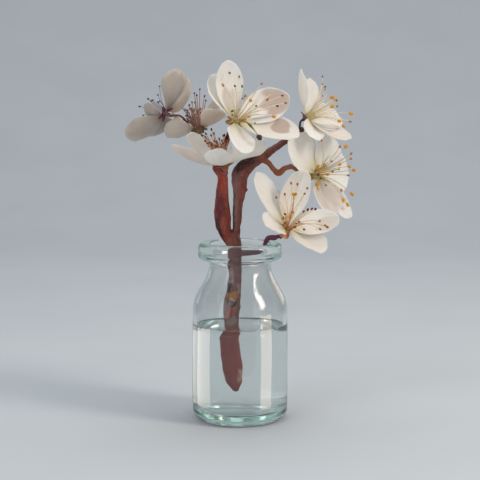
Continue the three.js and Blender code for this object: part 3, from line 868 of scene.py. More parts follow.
@dataclass
class Vial:
    """The clear bottle and the water that stands in it.

    The push-up is the curve under the bottom, and the floor's swell the points of its inside, as radius and
    height above the bottom or above the floor.
    """

    body_radius: float = 12.0
    wall: float = 1.1
    foot_radius: float = 9.2
    foot_corner: float = 2.8
    floor: float = 2.6
    shoulder_start: float = 27.0
    shoulder_curve: float = 5.6
    neck_radius: float = 7.8
    neck_height: float = 38.8
    neck_curve: float = 4.6
    neck_flare: float = 0.5
    neck_bore: float = 6.6
    inner_drop: float = 0.6
    rim_underside: float = 40.4
    rim_radius: float = 10.45
    rim_fillet: float = 1.2
    rim_lower_corner: float = 1.0
    rim_corner: float = 1.2
    mouth_radius: float = 7.2
    mouth_corner: float = 1.0
    height: float = 44.6
    push_up: tuple[Spot, ...] = ((0.0, 0.45), (4.0, 0.45), (6.6, 0.1), (7.9, 0.0))
    floor_swell: tuple[Spot, ...] = ((6.0, -0.05), (3.0, 0.12), (0.0, 0.2))
    wall_start: float = 5.0
    inner_wall_end: float = 25.0
    water_level: float = 23.9
    meniscus_rise: float = 0.3
    meniscus_width: float = 1.0
    water_in_glass: float = 0.2
    wobble: float = 0.05
    segments: int = 144

    def glass_profile(self) -> Array:
        """Radius and height from the bottom's centre, up the outside, over the rim and down to the floor.

        Returns:
            Rows of radius and height.
        """
        inside = self.body_radius - self.wall
        bend = self.foot_corner - self.wall
        lower = self.rim_lower_corner
        flare = self.rim_underside + self.rim_fillet
        shoulder = self.shoulder_start + self.shoulder_curve
        outer_neck = (self.neck_radius + self.neck_flare, self.neck_height - self.neck_curve)
        inner_neck = (self.neck_bore + self.neck_flare, self.neck_height - self.neck_curve - self.inner_drop)
        dome = bezier(list(self.push_up), 10)
        foot = arc((self.foot_radius, self.foot_corner), self.foot_corner, -90, 0, 12)
        upright = np.linspace(self.wall_start, self.shoulder_start, 14)
        body = np.column_stack([np.full(14, self.body_radius), upright])
        slope = bezier([(self.body_radius, self.shoulder_start), (self.body_radius, shoulder), outer_neck,
                        (self.neck_radius, self.neck_height)], 26)
        fillet = bezier([(self.neck_radius, self.neck_height), (self.neck_radius, self.rim_underside),
                         (self.neck_radius + self.rim_fillet, self.rim_underside)], 8)
        upper, lip = self.rim_corner, self.mouth_corner
        under = arc((self.rim_radius - lower, self.rim_underside + lower), lower, -90, 0, 8)
        over = arc((self.rim_radius - upper, self.height - upper), upper, 0, 90, 10)
        mouth = arc((self.mouth_radius + lip, self.height - lip), lip, 90, 180, 10)
        throat = bezier([(self.mouth_radius, self.height - lip), (self.mouth_radius, flare),
                         (self.neck_bore, flare - self.rim_fillet / 2)], 8)
        inner = bezier([(self.neck_bore, self.neck_height), inner_neck, (inside, shoulder - self.inner_drop),
                        (inside, self.shoulder_start - self.inner_drop)], 26)
        low = self.floor + bend + 0.4
        down = np.column_stack([np.full(12, inside), np.linspace(self.inner_wall_end, low, 12)])
        heel = arc((inside - bend, self.floor + bend), bend, 0, -90, 10)
        centre = np.array([(radius, self.floor + rise) for radius, rise in self.floor_swell])
        outside = [dome, foot[1:], body, slope[1:], fillet[1:], under, over]
        return np.vstack([*outside, mouth[1:], throat[1:], inner, down, heel, centre])

    def waved(self, points: Array) -> Array:
        """Points moved by a slow wave round and up the vial, the same on both faces of the glass.

        Args:
            points: the points of the glass or the water.

        Returns:
            The moved points.
        """
        turn = np.arctan2(points[:, 1], points[:, 0])
        wave = np.sin(2 * turn + 0.16 * points[:, 2]) + 0.6 * np.sin(3 * turn - 0.23 * points[:, 2] + 1.0)
        share = 1 + self.wobble * wave / self.body_radius * ease(points[:, 2], 2.0, 8.0)
        return points * np.stack([share, share, np.ones(len(points))], axis=-1)

    def water_profile(self) -> Array:
        """Radius and height from the water's lowest centre, up inside the glass and back along the level.

        Returns:
            Rows of radius and height.
        """
        radius = self.body_radius - self.wall + self.water_in_glass
        base = self.floor - self.water_in_glass
        bend = self.foot_corner - self.wall + self.water_in_glass
        edge = self.water_level + self.meniscus_rise
        heel = arc((radius - bend, base + bend), bend, -90, 0, 10)
        side = np.column_stack([np.full(12, radius), np.linspace(base + bend + 0.5, edge, 12)])
        curve = bezier([(radius, edge), (radius - self.meniscus_width * 0.3, self.water_level),
                        (radius - self.meniscus_width, self.water_level)], 8)
        flat = np.array([(7.0, self.water_level), (4.0, self.water_level), (0.0, self.water_level)])
        return np.vstack([[(0.0, base), (5.0, base)], heel, side, curve[1:], flat])

    def build(self) -> list[Piece]:
        """Make the glass and the water.

        Returns:
            The two pieces.
        """
        pieces = []
        for name, profile, finish, slot, node in (
            ("vial_glass", self.glass_profile(), GlassFinish(), "glass", "vial"),
            ("vial_water", self.water_profile(), WaterFinish(), "water", "water"),
        ):
            shell = Shell()
            points, faces = revolve(profile, self.segments)
            shell.add(self.waved(points), faces)
            pieces.append(shell.make(name, finish.material(), slot, [node]))
        return pieces


# The twig


@dataclass(frozen=True)
class Branch:
    """One run of the twig, with its bark's colours, and its shares of the relief and of the grey film. Its
    second colour is for the side turned to the key lamp: partly the redder bark of a sunny side, partly
    painted light and shade.
    """

    bark: str
    sun_and_painted_light_side: str
    stations: list[tuple[float, float, float, float]]
    relief: float = 1.0
    film: float = 1.0

    def path(self, spacing: float = 0.25) -> Array:
        """Its centre line and radius, a point every so many millimetres.

        Args:
            spacing: the distance between points.

        Returns:
            Rows of x, y, z and radius.
        """
        stations = np.array(self.stations)
        length = float(np.linalg.norm(np.diff(stations[:, :3], axis=0), axis=1).sum())
        return spline(stations, max(12, int(length / spacing)))


@dataclass(frozen=True)
class Mark:
    """A spot or a streak of another colour on the bark, such as a scar, a crack or a fresh knob."""

    place: Place
    radius: float
    colour: str
    strength: float = 0.9
    rise: float = 0.0
    end: Place | None = None

    def share(self, points: Array) -> Array:
        """The mark's share at each point: most near its line from place to end, and none past its radius.

        Args:
            points: points on the bark.

        Returns:
            A share from 0 to the mark's strength for each.
        """
        start = np.array(self.place)
        line = np.array(self.end or self.place) - start
        along = np.clip((points - start) @ line / max(float(line @ line), 1e-9), 0, 1)
        away = np.linalg.norm(points - start - along[:, None] * line, axis=1)
        return self.strength * (1 - ease(away, 0.3 * self.radius, 1.05 * self.radius))


BRANCHES = (
    # The main stem, from its broken lower end to the fork
    Branch("8a5647", "7d4a3e", [
        (-0.9, 0.0, 8.0, 0.7), (-1.1, 0.0, 10.0, 1.5), (-1.3, 0.0, 13.0, 1.85), (-1.8, 0.0, 18.6, 1.8),
        (-2.2, 0.0, 24.0, 1.75), (-2.1, 0.0, 28.8, 2.0), (-1.6, 0.0, 31.4, 1.85), (-1.3, 0.0, 36.4, 1.6),
        (-1.4, 0.0, 40.0, 1.65), (-1.3, 0.0, 43.0, 1.8), (-1.8, 0.2, 45.4, 2.0),
    ]),
    # The left branch
    Branch("803834", "964434", [
        (-1.6, 0.1, 43.6, 1.2), (-3.5, 0.3, 46.8, 1.55), (-4.4, 0.6, 50.6, 2.05), (-4.5, 1.0, 54.5, 1.85),
        (-4.4, 1.6, 58.3, 1.35), (-4.4, 2.0, 61.0, 1.2), (-5.0, 2.8, 63.2, 1.8), (-5.9, 4.2, 65.6, 1.35),
        (-7.7, 5.2, 68.2, 1.15), (-9.6, 5.8, 70.4, 1.0),
    ]),
    # The right branch
    Branch("85625a", "7c453c", [
        (-1.4, 0.3, 43.6, 1.1), (-1.0, 0.8, 46.8, 1.0), (-0.8, 1.2, 50.6, 1.0), (-0.5, 1.6, 54.5, 1.2),
        (-0.1, 1.9, 57.4, 1.6), (0.1, 2.3, 61.4, 2.1), (1.4, 2.6, 63.4, 1.9), (5.5, 2.8, 65.7, 1.15),
        (8.2, 3.0, 67.7, 0.85), (11.5, 3.3, 69.8, 0.7), (15.1, 3.8, 72.0, 0.55),
    ]),
    # The side branch that bears blossom 5
    Branch("a05642", "b06a4a", [
        (5.0, 2.8, 65.5, 0.9), (7.1, 2.7, 64.3, 0.65), (8.6, 2.7, 62.5, 0.65), (9.7, 2.9, 61.8, 0.85),
        (11.2, 3.2, 62.9, 0.65), (12.8, 3.7, 63.4, 0.6),
    ], 0.6, 0.7),
    # The spur that bears blossom 2
    Branch("6c3428", "86492c", [
        (-5.6, 3.8, 65.0, 1.0), (-4.7, 3.4, 67.3, 0.85), (-3.6, 2.4, 69.4, 0.8), (-3.0, 0.9, 70.8, 0.65),
    ], 0.7, 0.8),
    # The bare stalk behind blossom 4
    Branch("7a5663", "6a4a55", [
        (14.6, 3.7, 71.6, 0.5), (16.4, 3.6, 70.4, 0.4), (18.0, 3.4, 69.8, 0.35),
    ], 0.3, 0.4),
    # A short spur on the right branch
    Branch("7e4a40", "7c3834", [(-0.1, 1.8, 57.0, 0.9), (1.4, 1.4, 57.7, 0.5)], 0.5, 0.6),
    # The lateral that leaves inside the mouth and bears blossom 6
    Branch("6a3a4c", "744250", [
        (-1.3, -0.2, 41.6, 0.8), (2.6, -0.6, 41.6, 0.6), (4.8, -1.2, 42.2, 0.55), (6.0, -1.8, 44.0, 0.55),
        (6.9, -2.8, 45.9, 0.6), (8.6, -5.4, 46.4, 0.65),
    ], 0.5, 0.25),
)
MARKS = (
    # The knob, the pale and the dark line under it, and the dark grooved line that runs up from it
    Mark((-2.7, -1.5, 31.4), 1.1, "c47c34", 1.0, 0.3, (-1.4, -1.9, 31.4)),
    Mark((-2.4, -1.9, 30.4), 0.42, "dcc8b4", 0.9, 0.0, (-1.2, -2.0, 30.4)),
    Mark((-3.1, -1.4, 29.5), 0.75, "120c0e", 1.0, -0.2, (-1.4, -2.0, 29.3)),
    Mark((-3.0, -1.3, 32.6), 0.85, "171114", 1.0, -0.15, (-2.8, -1.2, 39.6)),
    # Older wood above the knob, and fresher below it
    Mark((-0.9, -1.6, 33.6), 1.2, "9a6a68", 0.75, 0.0, (-0.8, -1.5, 39.0)),
    Mark((-0.4, -1.3, 32.0), 0.7, "c4aa98", 0.6, 0.0, (-0.4, -1.3, 33.4)),
    Mark((-2.6, -1.6, 26.9), 1.2, "9c3420", 0.85, 0.0, (-2.2, -1.7, 28.2)),
    Mark((-1.4, -1.9, 27.2), 0.7, "b8703c", 0.6, 0.0, (-1.3, -1.9, 28.0)),
    # Painted highlights: pale beige just above the water level, and pale pink on the right side low on the
    # soaked twig
    Mark((-2.3, -1.6, 24.6), 1.5, "a08c7c", 0.6, 0.0, (-1.6, -1.6, 25.4)),
    Mark((0.2, -1.3, 10.6), 1.2, "dca088", 1.0, 0.0, (0.5, -1.3, 12.4)),
    # Above the rim: painted shade down the left branch's left edge and where the right branch passes under
    # the blossoms, other dark lines, and red wood where the left branch widens
    Mark((-3.9, -0.9, 42.5), 1.2, "181012", 0.85, 0.0, (-5.9, -0.9, 50.0)),
    Mark((-4.3, 0.6, 60.4), 3.4, "a0422e", 0.7),
    Mark((-5.0, -0.9, 52.0), 1.9, "5a282e", 0.75, 0.0, (-4.9, -0.9, 55.5)),
    Mark((-3.2, -0.9, 46.0), 0.9, "8c463c", 0.6, 0.0, (-3.4, -0.9, 51.0)),
    Mark((-1.6, 0.2, 46.5), 0.8, "2a1c1e", 0.7, 0.0, (-1.6, 0.6, 57.0)),
    Mark((-1.0, 0.3, 47.5), 0.7, "8a7068", 0.5, 0.0, (-1.0, 0.8, 56.0)),
    Mark((-0.4, 0.4, 63.8), 2.2, "1f1316", 0.8, 0.0, (2.8, 0.9, 65.4)),
    Mark((1.4, 0.6, 59.0), 1.9, "6e2e30", 0.65, 0.0, (2.0, 0.8, 61.5)),
    Mark((9.6, 2.2, 61.9), 1.3, "b06a3c", 0.7),
)


@dataclass
class Twig:
    """The woody twig: one grown piece that forks above the rim.

    The heights and sizes of its relief are in millimetres. The ridges' stretch is how fast they change along
    the twig, as a share of how fast they change round it, and the rings' stretch is the other way about.
    """

    voxel: float = 0.14
    ridge: float = 0.07
    ridge_size: float = 0.9
    ridge_stretch: float = 0.18
    lump: float = 0.16
    lump_size: float = 2.4
    small_lump_size: float = 1.1
    ring: float = 0.14
    ring_size: float = 1.5
    ring_stretch: float = 0.25
    wander: Place = (0.3, 0.3, 0.6)
    wander_size: float = 0.7
    fray: float = 0.2
    fray_size: float = 0.35
    soaked: str = "a22a0c"
    soaked_share: float = 0.92
    soaked_below: float = 23.9
    count_fall: float = 0.35
    branches: tuple[Branch, ...] = BRANCHES
    marks: tuple[Mark, ...] = MARKS

    def skin(self) -> bpy.types.Mesh:
        """All branches as closed tubes, melted into one skin by a voxel remesh.

        Returns:
            The mesh, in metres.
        """
        shell = Shell()
        for branch in self.branches:
            points, faces = tube(branch.path(), 24, np.array([0.0, 1.0, 0.0]))
            shell.add(points, faces)
        mesh = shell.mesh("twig_core")
        core = bpy.data.objects.new("twig_core", mesh)
        bpy.context.scene.collection.objects.link(core)
        melt = core.modifiers.new("melt", "REMESH")
        melt.mode, melt.voxel_size = "VOXEL", self.voxel * MM
        soften = core.modifiers.new("soften", "SMOOTH")
        soften.factor, soften.iterations = 0.5, 3
        skin = bpy.data.meshes.new_from_object(core.evaluated_get(bpy.context.evaluated_depsgraph_get()))
        bpy.data.objects.remove(core)
        bpy.data.meshes.remove(mesh)
        return skin

    def nearness(self, points: Array) -> Array:
        """How much each branch counts at each point.

        A branch's count falls off as the exponential of the point's distance outside it, and the counts at a
        point add up to 1.

        Args:
            points: points on the bark.

        Returns:
            A row for each point, with a share for each branch.
        """
        outside = []
        for branch in self.branches:
            path = branch.path()[::3]
            away = np.linalg.norm(points[:, None] - path[None, :, :3], axis=-1) - path[None, :, 3]
            outside.append(np.maximum(away.min(axis=1), 0))
        counts = np.exp(-np.stack(outside, axis=1) / self.count_fall)
        return counts / counts.sum(axis=1, keepdims=True)

    def relief(self, points: Array) -> Array:
        """The bark's height: long ridges, low lumps and rings of old bud scars, as sums of noise.

        Args:
            points: points on the bark.

        Returns:
            A height in millimetres for each.
        """
        long = points * np.array([1.0, 1.0, self.ridge_stretch])
        flat = points * np.array([self.ring_stretch, self.ring_stretch, 1.0])
        ridges = 1 - 2 * np.abs(smooth_noise(long, self.ridge_size, 3.0))
        lumps = smooth_noise(points, self.lump_size, 11.0)
        lumps += 0.5 * smooth_noise(points, self.small_lump_size, 23.0)
        rings = np.maximum(smooth_noise(flat, self.ring_size, 37.0), 0) ** 2
        return self.ridge * ridges + self.lump * lumps + self.ring * rings

    def build(self) -> Piece:
        """Make the twig's mesh, with its relief and the colours of its branches and marks.

        Returns:
            The piece.
        """
        mesh = self.skin()
        count = len(mesh.vertices)
        points, normals = np.zeros(count * 3), np.zeros(count * 3)
        mesh.vertices.foreach_get("co", points)
        mesh.vertex_normals.foreach_get("vector", normals)
        points, normals = points.reshape(-1, 3) / MM, normals.reshape(-1, 3)
        shares = self.nearness(points)
        shaded, lit, relief, film = zip(*((b.bark, b.sun_and_painted_light_side, b.relief, b.film) for b in self.branches))
        shaded, lit = (shares @ np.array([linear(colour) for colour in side]) for side in (shaded, lit))
        # The side turned to the key lamp, right and front, takes the second colours: partly sun-reddened
        # bark, partly painted light and shade
        sun_and_painted_light = ease(normals[:, :1] - 0.4 * normals[:, 1:2], -0.3, 0.7)
        tint = shaded * (1 - sun_and_painted_light) + lit * sun_and_painted_light
        wet = self.soaked_share * (1 - ease(points[:, 2:], self.soaked_below - 1.0, self.soaked_below + 0.5))
        tint += wet * (np.array(linear(self.soaked)) - tint)
        # The marks' borders wander by half a millimetre, most of all up the grain
        drift = [smooth_noise(points, self.wander_size, seed) for seed in (61.0, 67.0, 71.0)]
        bent = points + np.stack(drift, axis=-1) * np.array(self.wander)
        bent += self.fray * smooth_noise(points, self.fray_size, 73.0)[:, None]
        raised = np.zeros(count)
        for mark in self.marks:
            share = mark.share(bent)
            tint += share[:, None] * (np.array(linear(mark.colour)) - tint)
            raised += mark.rise * share
        height = self.relief(points) * (shares @ np.array(relief)) + raised
        mesh.vertices.foreach_set("co", ((points + normals * height[:, None]) * MM).ravel())
        give(mesh, "tint", tint)
        give(mesh, "age", (1 - wet[:, 0]) * (shares @ np.array(film)))
        mesh.shade_smooth()
        mesh.name = "twig_bark"
        return dress(bpy.data.objects.new("twig_bark", mesh), BarkFinish().material(), ["twig"])


# The blossoms


class Light(Enum):
    """Which petals a blossom has: those for blossoms that face the light, or greyer ones with painted shade
    for those that the others shade.
    """

    LIT = "petal"
    SHADE_PAINTED = "shaded_petal"


class Pollen(Enum):
    """How an anther has aged, by the letter that stands for it in a blossom's list."""

    GOLD = "g"
    AMBER = "a"
    RUST = "r"
    MAROON = "m"
    OLIVE = "o"
    SLATE = "s"
    DUN = "d"
    TAN = "t"
    SHED = "b"


# Each anther's colour, and its size beside a middling one
ANTHERS = {
    Pollen.GOLD: ("e3a338", 1.4),
    Pollen.AMBER: ("bd8342", 1.0),
    Pollen.RUST: ("98603a", 0.85),
    Pollen.MAROON: ("6f3029", 0.9),
    Pollen.OLIVE: ("857448", 0.8),
    Pollen.SLATE: ("453e3c", 0.75),
    Pollen.DUN: ("997263", 0.8),
    Pollen.TAN: ("d29a72", 0.8),
    Pollen.SHED: ("e9dcc0", 0.4),
}


@dataclass(frozen=True)
class Palette:
    """Colours of one blossom's small parts."""

    filament: str
    filament_root: str
    calyx: str
    cup_inside: str
    stalk: str
    scale: str


@dataclass(frozen=True)
class Pistil:
    """A pistil's tip from the heart, if it isn't on the axis, and its colours and head."""

    tip: Place | None = None
    style: str = "b3b45c"
    head: str = "cdb85e"
    head_length: float = 0.34
    head_width: float = 0.26
    swelling: float = 0.0
    swelling_colour: str = "59642c"


@dataclass(frozen=True)
class PaintedShade:
    """A patch of painted shade on a petal, in shares of the petal's length and of its half width."""

    petal: int
    along: float
    across: float
    long: float
    wide: float
    strength: float


@dataclass(frozen=True)
class Stamens:
    """The tuft's measures that all blossoms share, in millimetres and degrees.

    A spare stamen's reach is a share of its blossom's reach.
    """

    root_ring: float = 1.15
    root_drop: float = 0.3
    root_radius: float = 0.11
    tip_radius: float = 0.075
    anther_width: float = 0.34
    anther_length: float = 0.44
    rings: int = 12
    sides: int = 6
    least_lean: float = 12.0
    lean_range: float = 20.0
    least_reach: float = 0.72
    reach_range: float = 0.2
    inner_reach: float = 2.6
    near_reach: float = 4.4
    inner_lean: float = 48.0
    lobe_dip: float = 0.22
    flatness: float = 0.85


@dataclass(frozen=True)
class SmallParts:
    """The measures of pistils, sepals, stalks and bud scales that all blossoms share, in millimetres.

    A girth is rows of a share of the way and the radius there. The style's reach is a share of the stamens'
    reach. Where the sepals and the stalk start is in shares of the cup's size.
    """

    style_root: float = 1.3
    style_reach: float = 0.72
    style_girth: tuple[Spot, ...] = ((0, 0.36), (0.12, 0.3), (0.3, 0.15), (1, 0.11))
    style_rings: int = 28
    style_sides: int = 10
    swelling_at: float = 0.72
    swelling_spread: float = 0.09
    head_lump: float = 0.14
    head_lump_size: float = 0.45
    sepal_place: Spot = (1.15, 0.75)
    sepal_out: float = 0.93
    sepal_sag: float = 0.08
    stalk_starts: Spot = (2.2, 3.9)
    stalk_girth: tuple[Spot, ...] = ((0, 0.5), (0.3, 0.38), (0.8, 0.42), (1, 0.58))
    stalk_rings: int = 40
    stalk_sides: int = 12
    stalk_lump: float = 0.05
    stalk_lump_size: float = 0.8
    scale_length: float = 1.4
    scale_width: float = 1.2
    scale_sag: float = -0.1
    scale_place: float = 0.3
    scale_lean: float = 0.25


# The outer side of a blossom's cup and the small bowl inside it, as radius and height in shares of its size
CUP_OUTSIDE = (
    (0.0, -3.6), (0.5, -3.4), (0.66, -3.0), (1.0, -2.4), (1.36, -1.6), (1.56, -0.95), (1.62, -0.5),
    (1.5, -0.18),
)
CUP_INSIDE = ((1.32, -0.16), (1.18, -0.5), (0.95, -1.0), (0.6, -1.4), (0.25, -1.6), (0.0, -1.64))


@dataclass(frozen=True)
class Blossom:
    """One blossom, placed by its heart and the way that it faces.

    A petal is its tip from the heart, its width and, where it isn't 0, its twist in degrees. An anther's
    place is to the right of the heart and above it. The tones are letters of Pollen for the anthers, the shed
    ones and the near ones, in that order, and inner holds those of the inner ones. A side of -1 turns the
    anthers to the front, 1 to the back, and 0 to each in turn.
    """

    number: int
    heart: Place
    facing: Place
    petals: list[tuple[float, ...]]
    anthers: list[Spot]
    tones: str
    reach: float
    side: int
    depth: float
    spare: int
    stalk: list[Place]
    palette: Palette
    light: Light = Light.LIT
    pistil: Pistil = Pistil()
    inner: str = ""
    painted_shades: tuple[PaintedShade, ...] = ()
    cup_size: float = 0.85
    sepal_rise: float = -0.3
    sepal_length: float = 2.0
    sepal_width: float = 1.8
    scales: int = 4
    thread: float = 1.0
    stalk_girth: float = 1.0
    shed: list[Spot] = field(default_factory=list)
    near: list[Spot] = field(default_factory=list)

    @property
    def axis(self) -> Array:
        """The unit vector that the blossom faces along."""
        return unit(np.array(self.facing, float))

    def square_to_axis(self, reach: Array) -> Array:
        """The unit direction of the part of a vector that is square to the axis."""
        return unit(reach - (reach @ self.axis) * self.axis)

    def petal(self, index: int, form: BladeForm) -> Blade:
        """One petal from its claw to its tip.

        Its chord runs from 1 mm out on the receptacle to the tip. Its sag grows with the tangent of three
        quarters of the chord's rise, so that a steep petal leaves the receptacle level and then curves up.

        Args:
            index: which of the five.
            form: the form that petals share.

        Returns:
            The petal.
        """
        x, y, z, width, *twist = self.petals[index]
        tip = np.array([x, y, z])
        claw = self.square_to_axis(tip) * 1.0
        length = float(np.linalg.norm(tip - claw))
        along = (tip - claw) / length
        rise = math.asin(float(along @ self.axis))
        sag = length * max(0.05, 0.22 * math.tan(0.75 * rise))
        across = unit(np.cross(self.axis, along))
        turn = twist[0] if twist else 0.0
        return Blade(claw, along, across, length, width, sag, turn, 17.0 * self.number + 3.1 * index, form)

    def dimness(self, index: int, s: Array, q: Array) -> Array:
        """How much painted shade a petal has at each point: the most that any patch gives, each fading at its
        border.

        Args:
            index: which petal.
            s: each point's share of the length.
            q: its place across, from -1 to 1.

        Returns:
            A share from 0 to 1 for each point.
        """
        dim = np.zeros(len(s))
        for patch in (painted_patch for painted_patch in self.painted_shades if painted_patch.petal == index):
            away = np.hypot((s - patch.along) / patch.long, (q - patch.across) / patch.wide)
            away = away + 0.12 * np.sin(9 * q + 5 * s)
            dim = np.maximum(dim, patch.strength * (1 - ease(away, 0.8, 1.1)))
        return dim

    def corolla(self, finish: Material) -> Piece:
        """Make the five petals.

        Each point has its place on the petal in millimetres, its share of the length and its share of painted
        shade.

        Args:
            finish: the petals' finish.

        Returns:
            The piece.
        """
        shell = Shell()
        for index in range(len(self.petals)):
            blade = self.petal(index, PETAL_FORM)
            points, faces, s, q = blade.surface()
            lie = np.stack([blade.width / 2 * q, blade.length * s], axis=-1)
            shell.add(points + np.array(self.heart), faces, lie=lie, along=s, dim=self.dimness(index, s, q))
        name = f"blossom_{self.number}_corolla"
        return shell.make(name, finish, self.light.value, [f"bloom_{self.number}_petals"])

    def anther_places(self, measures: Stamens) -> Array:
        """Where each anther is from the heart.

        The first ones are given to the right and above, and lie at the filaments' reach towards one side, as
        do those that have shed their pollen. The near ones are given in the same way, on short filaments. The
        spare ones stand round the axis by golden turns, leaning out by the root of their share. The inner
        ones lean out further on short filaments.

        Args:
            measures: the tuft's measures.

        Returns:
            A place for each anther.
        """
        places = []
        for k, (right, up) in enumerate([*self.anthers, *self.shed]):
            rest = math.sqrt(max(self.reach**2 - right**2 - up**2, 0))
            side = (-1 if k % 2 == 0 else 1) if self.side == 0 else self.side
            places.append((right, side * min(self.depth, rest), up))
        for right, up in self.near:
            rest = math.sqrt(max(measures.near_reach**2 - right**2 - up**2, 0))
            places.append((right, (self.side or 1) * rest, up))
        k = np.arange(self.spare + len(self.inner))
        spare = k < self.spare
        first = unit(np.cross(self.axis, np.array([0.0, 0.0, 1.0])))
        out = turned_about(np.broadcast_to(first, (len(k), 3)), self.axis, k * GOLDEN_TURN + draw(k + 7))
        share = np.sqrt((k + 0.5) / max(self.spare, 1))
        lean = np.where(spare, measures.least_lean + measures.lean_range * share, measures.inner_lean)
        reach = self.reach * (measures.least_reach + measures.reach_range * draw(k + 31))
        reach = np.where(spare, reach, measures.inner_reach * (0.8 + 0.5 * draw(k + 31)))
        lean = np.radians(lean)[:, None]
        spread = self.axis * np.cos(lean) + out * np.sin(lean)
        return np.vstack([np.array(places), spread * reach[:, None]])

    def filament(self, tip: Array, measures: Stamens, seed: int) -> Array:
        """A Bezier curve from the inner rim of the cup, first along the axis and then out to its anther.

        Args:
            tip: the anther's place from the heart.
            measures: the tuft's measures.
            seed: varies its root and its bend.

        Returns:
            The curve's points from the heart.
        """
        length = np.linalg.norm(tip)
        out = self.square_to_axis(tip + 0.01 * draw(seed + np.array([0, 5, 9])))
        root = out * measures.root_ring * (0.6 + 0.4 * float(draw(seed + 2))) - self.axis * measures.root_drop
        bend = root + self.axis * (0.42 * length) + out * 0.3
        bend = bend + 0.08 * length * (draw(seed + np.array([3, 13, 23])) - 0.5)
        return bezier([root, bend, tip], measures.rings)

    def stamens(self, measures: Stamens, thread: Material, pollen: Material) -> list[Piece]:
        """Make the filaments, which change colour towards their roots, and the anthers.

        Args:
            measures: the tuft's measures.
            thread: the filaments' finish.
            pollen: the anthers' finish.

        Returns:
            The two pieces.
        """
        heart = np.array(self.heart)
        tones = self.tones + self.tones[0] * self.spare + self.inner
        pale, deep = np.array(linear(self.palette.filament)), np.array(linear(self.palette.filament_root))
        girth = self.thread * np.linspace(measures.root_radius, measures.tip_radius, measures.rings)
        threads, grains = Shell(), Shell()
        for k, (tip, letter) in enumerate(zip(self.anther_places(measures), tones)):
            curve = self.filament(tip, measures, k)
            root, along = curve[0], tip - curve[0]
            _, reference = upright_frame(unit(along))
            points, faces = tube(np.column_stack([curve + heart, girth]), measures.sides, reference)
            share = np.linalg.norm(points - heart - root, axis=1) / np.linalg.norm(along)
            threads.add(points, faces, tint=deep + ease(share, 0.0, 0.6)[:, None] * (pale - deep))
            colour, size = ANTHERS[Pollen(letter)]
            points, faces = self.anther(unit(curve[-1] - curve[-2]), measures, size, k + 40 * self.number)
            grains.add(points + tip + heart, faces, tint=np.array([linear(colour)]))
        nodes = [f"bloom_{self.number}_stamens"]
        return [
            threads.make(f"blossom_{self.number}_filaments", thread, "stamen", nodes),
            grains.make(f"blossom_{self.number}_anthers", pollen, "stamen", nodes),
        ]

    def anther(self, along: Array, measures: Stamens, size: float, seed: int) -> tuple[Array, Faces]:
        """An ellipsoid whose girth dips by a fifth along two lines, for its two lobes.

        Args:
            along: the filament's direction at its end.
            measures: the tuft's measures.
            size: its size beside a middling anther.
            seed: varies its size and lean.

        Returns:
            The points and faces, about the filament's end.
        """
        lean = unit(along + 0.9 * (draw(seed + np.array([50, 61, 72])) - 0.5))
        size = size * (0.9 + 0.2 * float(draw(seed + 83)))
        points, faces = egg(measures.anther_width, measures.anther_length, 9, 12)
        turn = np.arctan2(points[:, 1], points[:, 0])
        girth = 1 - measures.lobe_dip * np.exp(-((np.sin(turn) / 0.45) ** 2))
        flat = points * np.stack([girth, measures.flatness * girth, np.ones(len(points))], axis=-1) * size
        return stood_along(flat, lean), faces

    def pistil_piece(self, measures: SmallParts, finish: Material) -> Piece:
        """Make the pistil: a style that curves from the cup's floor to its head, and may swell on the way.

        Args:
            measures: its measures.
            finish: its finish.

        Returns:
            The piece.
        """
        heart, look = np.array(self.heart), self.pistil
        tip = np.array(look.tip) if look.tip else self.axis * self.reach * measures.style_reach
        root = -measures.style_root * self.axis
        curve = bezier([root, root + self.axis * 0.5 * np.linalg.norm(tip), tip], measures.style_rings)
        t = np.linspace(0, 1, len(curve))
        swell = np.exp(-(((t - measures.swelling_at) / measures.swelling_spread) ** 2))
        girth = np.interp(t, *zip(*measures.style_girth)) + look.swelling * swell
        _, reference = upright_frame(unit(tip - root))
        points, faces = tube(np.column_stack([curve + heart, girth]), measures.style_sides, reference)
        # The colour is given ring by ring, and the rings of the rounded ends and their poles have no swelling
        rings = np.concatenate([[0, 0], swell, [0, 0]]) * float(look.swelling > 0)
        dark = np.append(np.repeat(rings, measures.style_sides), [0, 0])[:, None]
        tint = np.array(linear(look.style)) * (1 - dark) + np.array(linear(look.swelling_colour)) * dark
        shell = Shell()
        shell.add(points, faces, tint=tint)
        points, faces = egg(look.head_width, look.head_length, 11, 14)
        lumps = measures.head_lump * smooth_noise(points, measures.head_lump_size, 5.0)
        points = points * (1 + lumps)[:, None]
        points = stood_along(points, unit(curve[-1] - curve[-2])) + tip + heart
        shell.add(points, faces, tint=np.array([linear(look.head)]))
        name = f"blossom_{self.number}_pistil"
        return shell.make(name, finish, "stamen", [f"bloom_{self.number}_stamens"])

    def gap_directions(self) -> Array:
        """Unit directions midway between neighbouring petals round the axis.

        Returns:
            A direction for each gap.
        """
        first, second = upright_frame(self.axis)
        tips = np.array([petal[:3] for petal in self.petals])
        angles = np.sort(np.arctan2(tips @ second, tips @ first))
        middle = (angles + np.append(angles[1:], angles[0] + 2 * np.pi)) / 2
        return np.cos(middle)[:, None] * first + np.sin(middle)[:, None] * second

    def cup(self, shell: Shell) -> None:
        """Add the cup: a profile turned about the axis, whose inner side is a bowl of another colour.

        Args:
            shell: what to add it to.
        """
        size, palette = self.cup_size, self.palette
        points, faces = revolve(np.array(CUP_OUTSIDE + CUP_INSIDE) * size, 28)
        inside = (np.hypot(points[:, 0], points[:, 1]) < 1.34 * size) & (points[:, 2] > -1.7 * size)
        tint = np.where(inside[:, None], linear(palette.cup_inside), linear(palette.calyx))
        shell.add(stood_along(points, self.axis) + np.array(self.heart), faces, tint=tint)

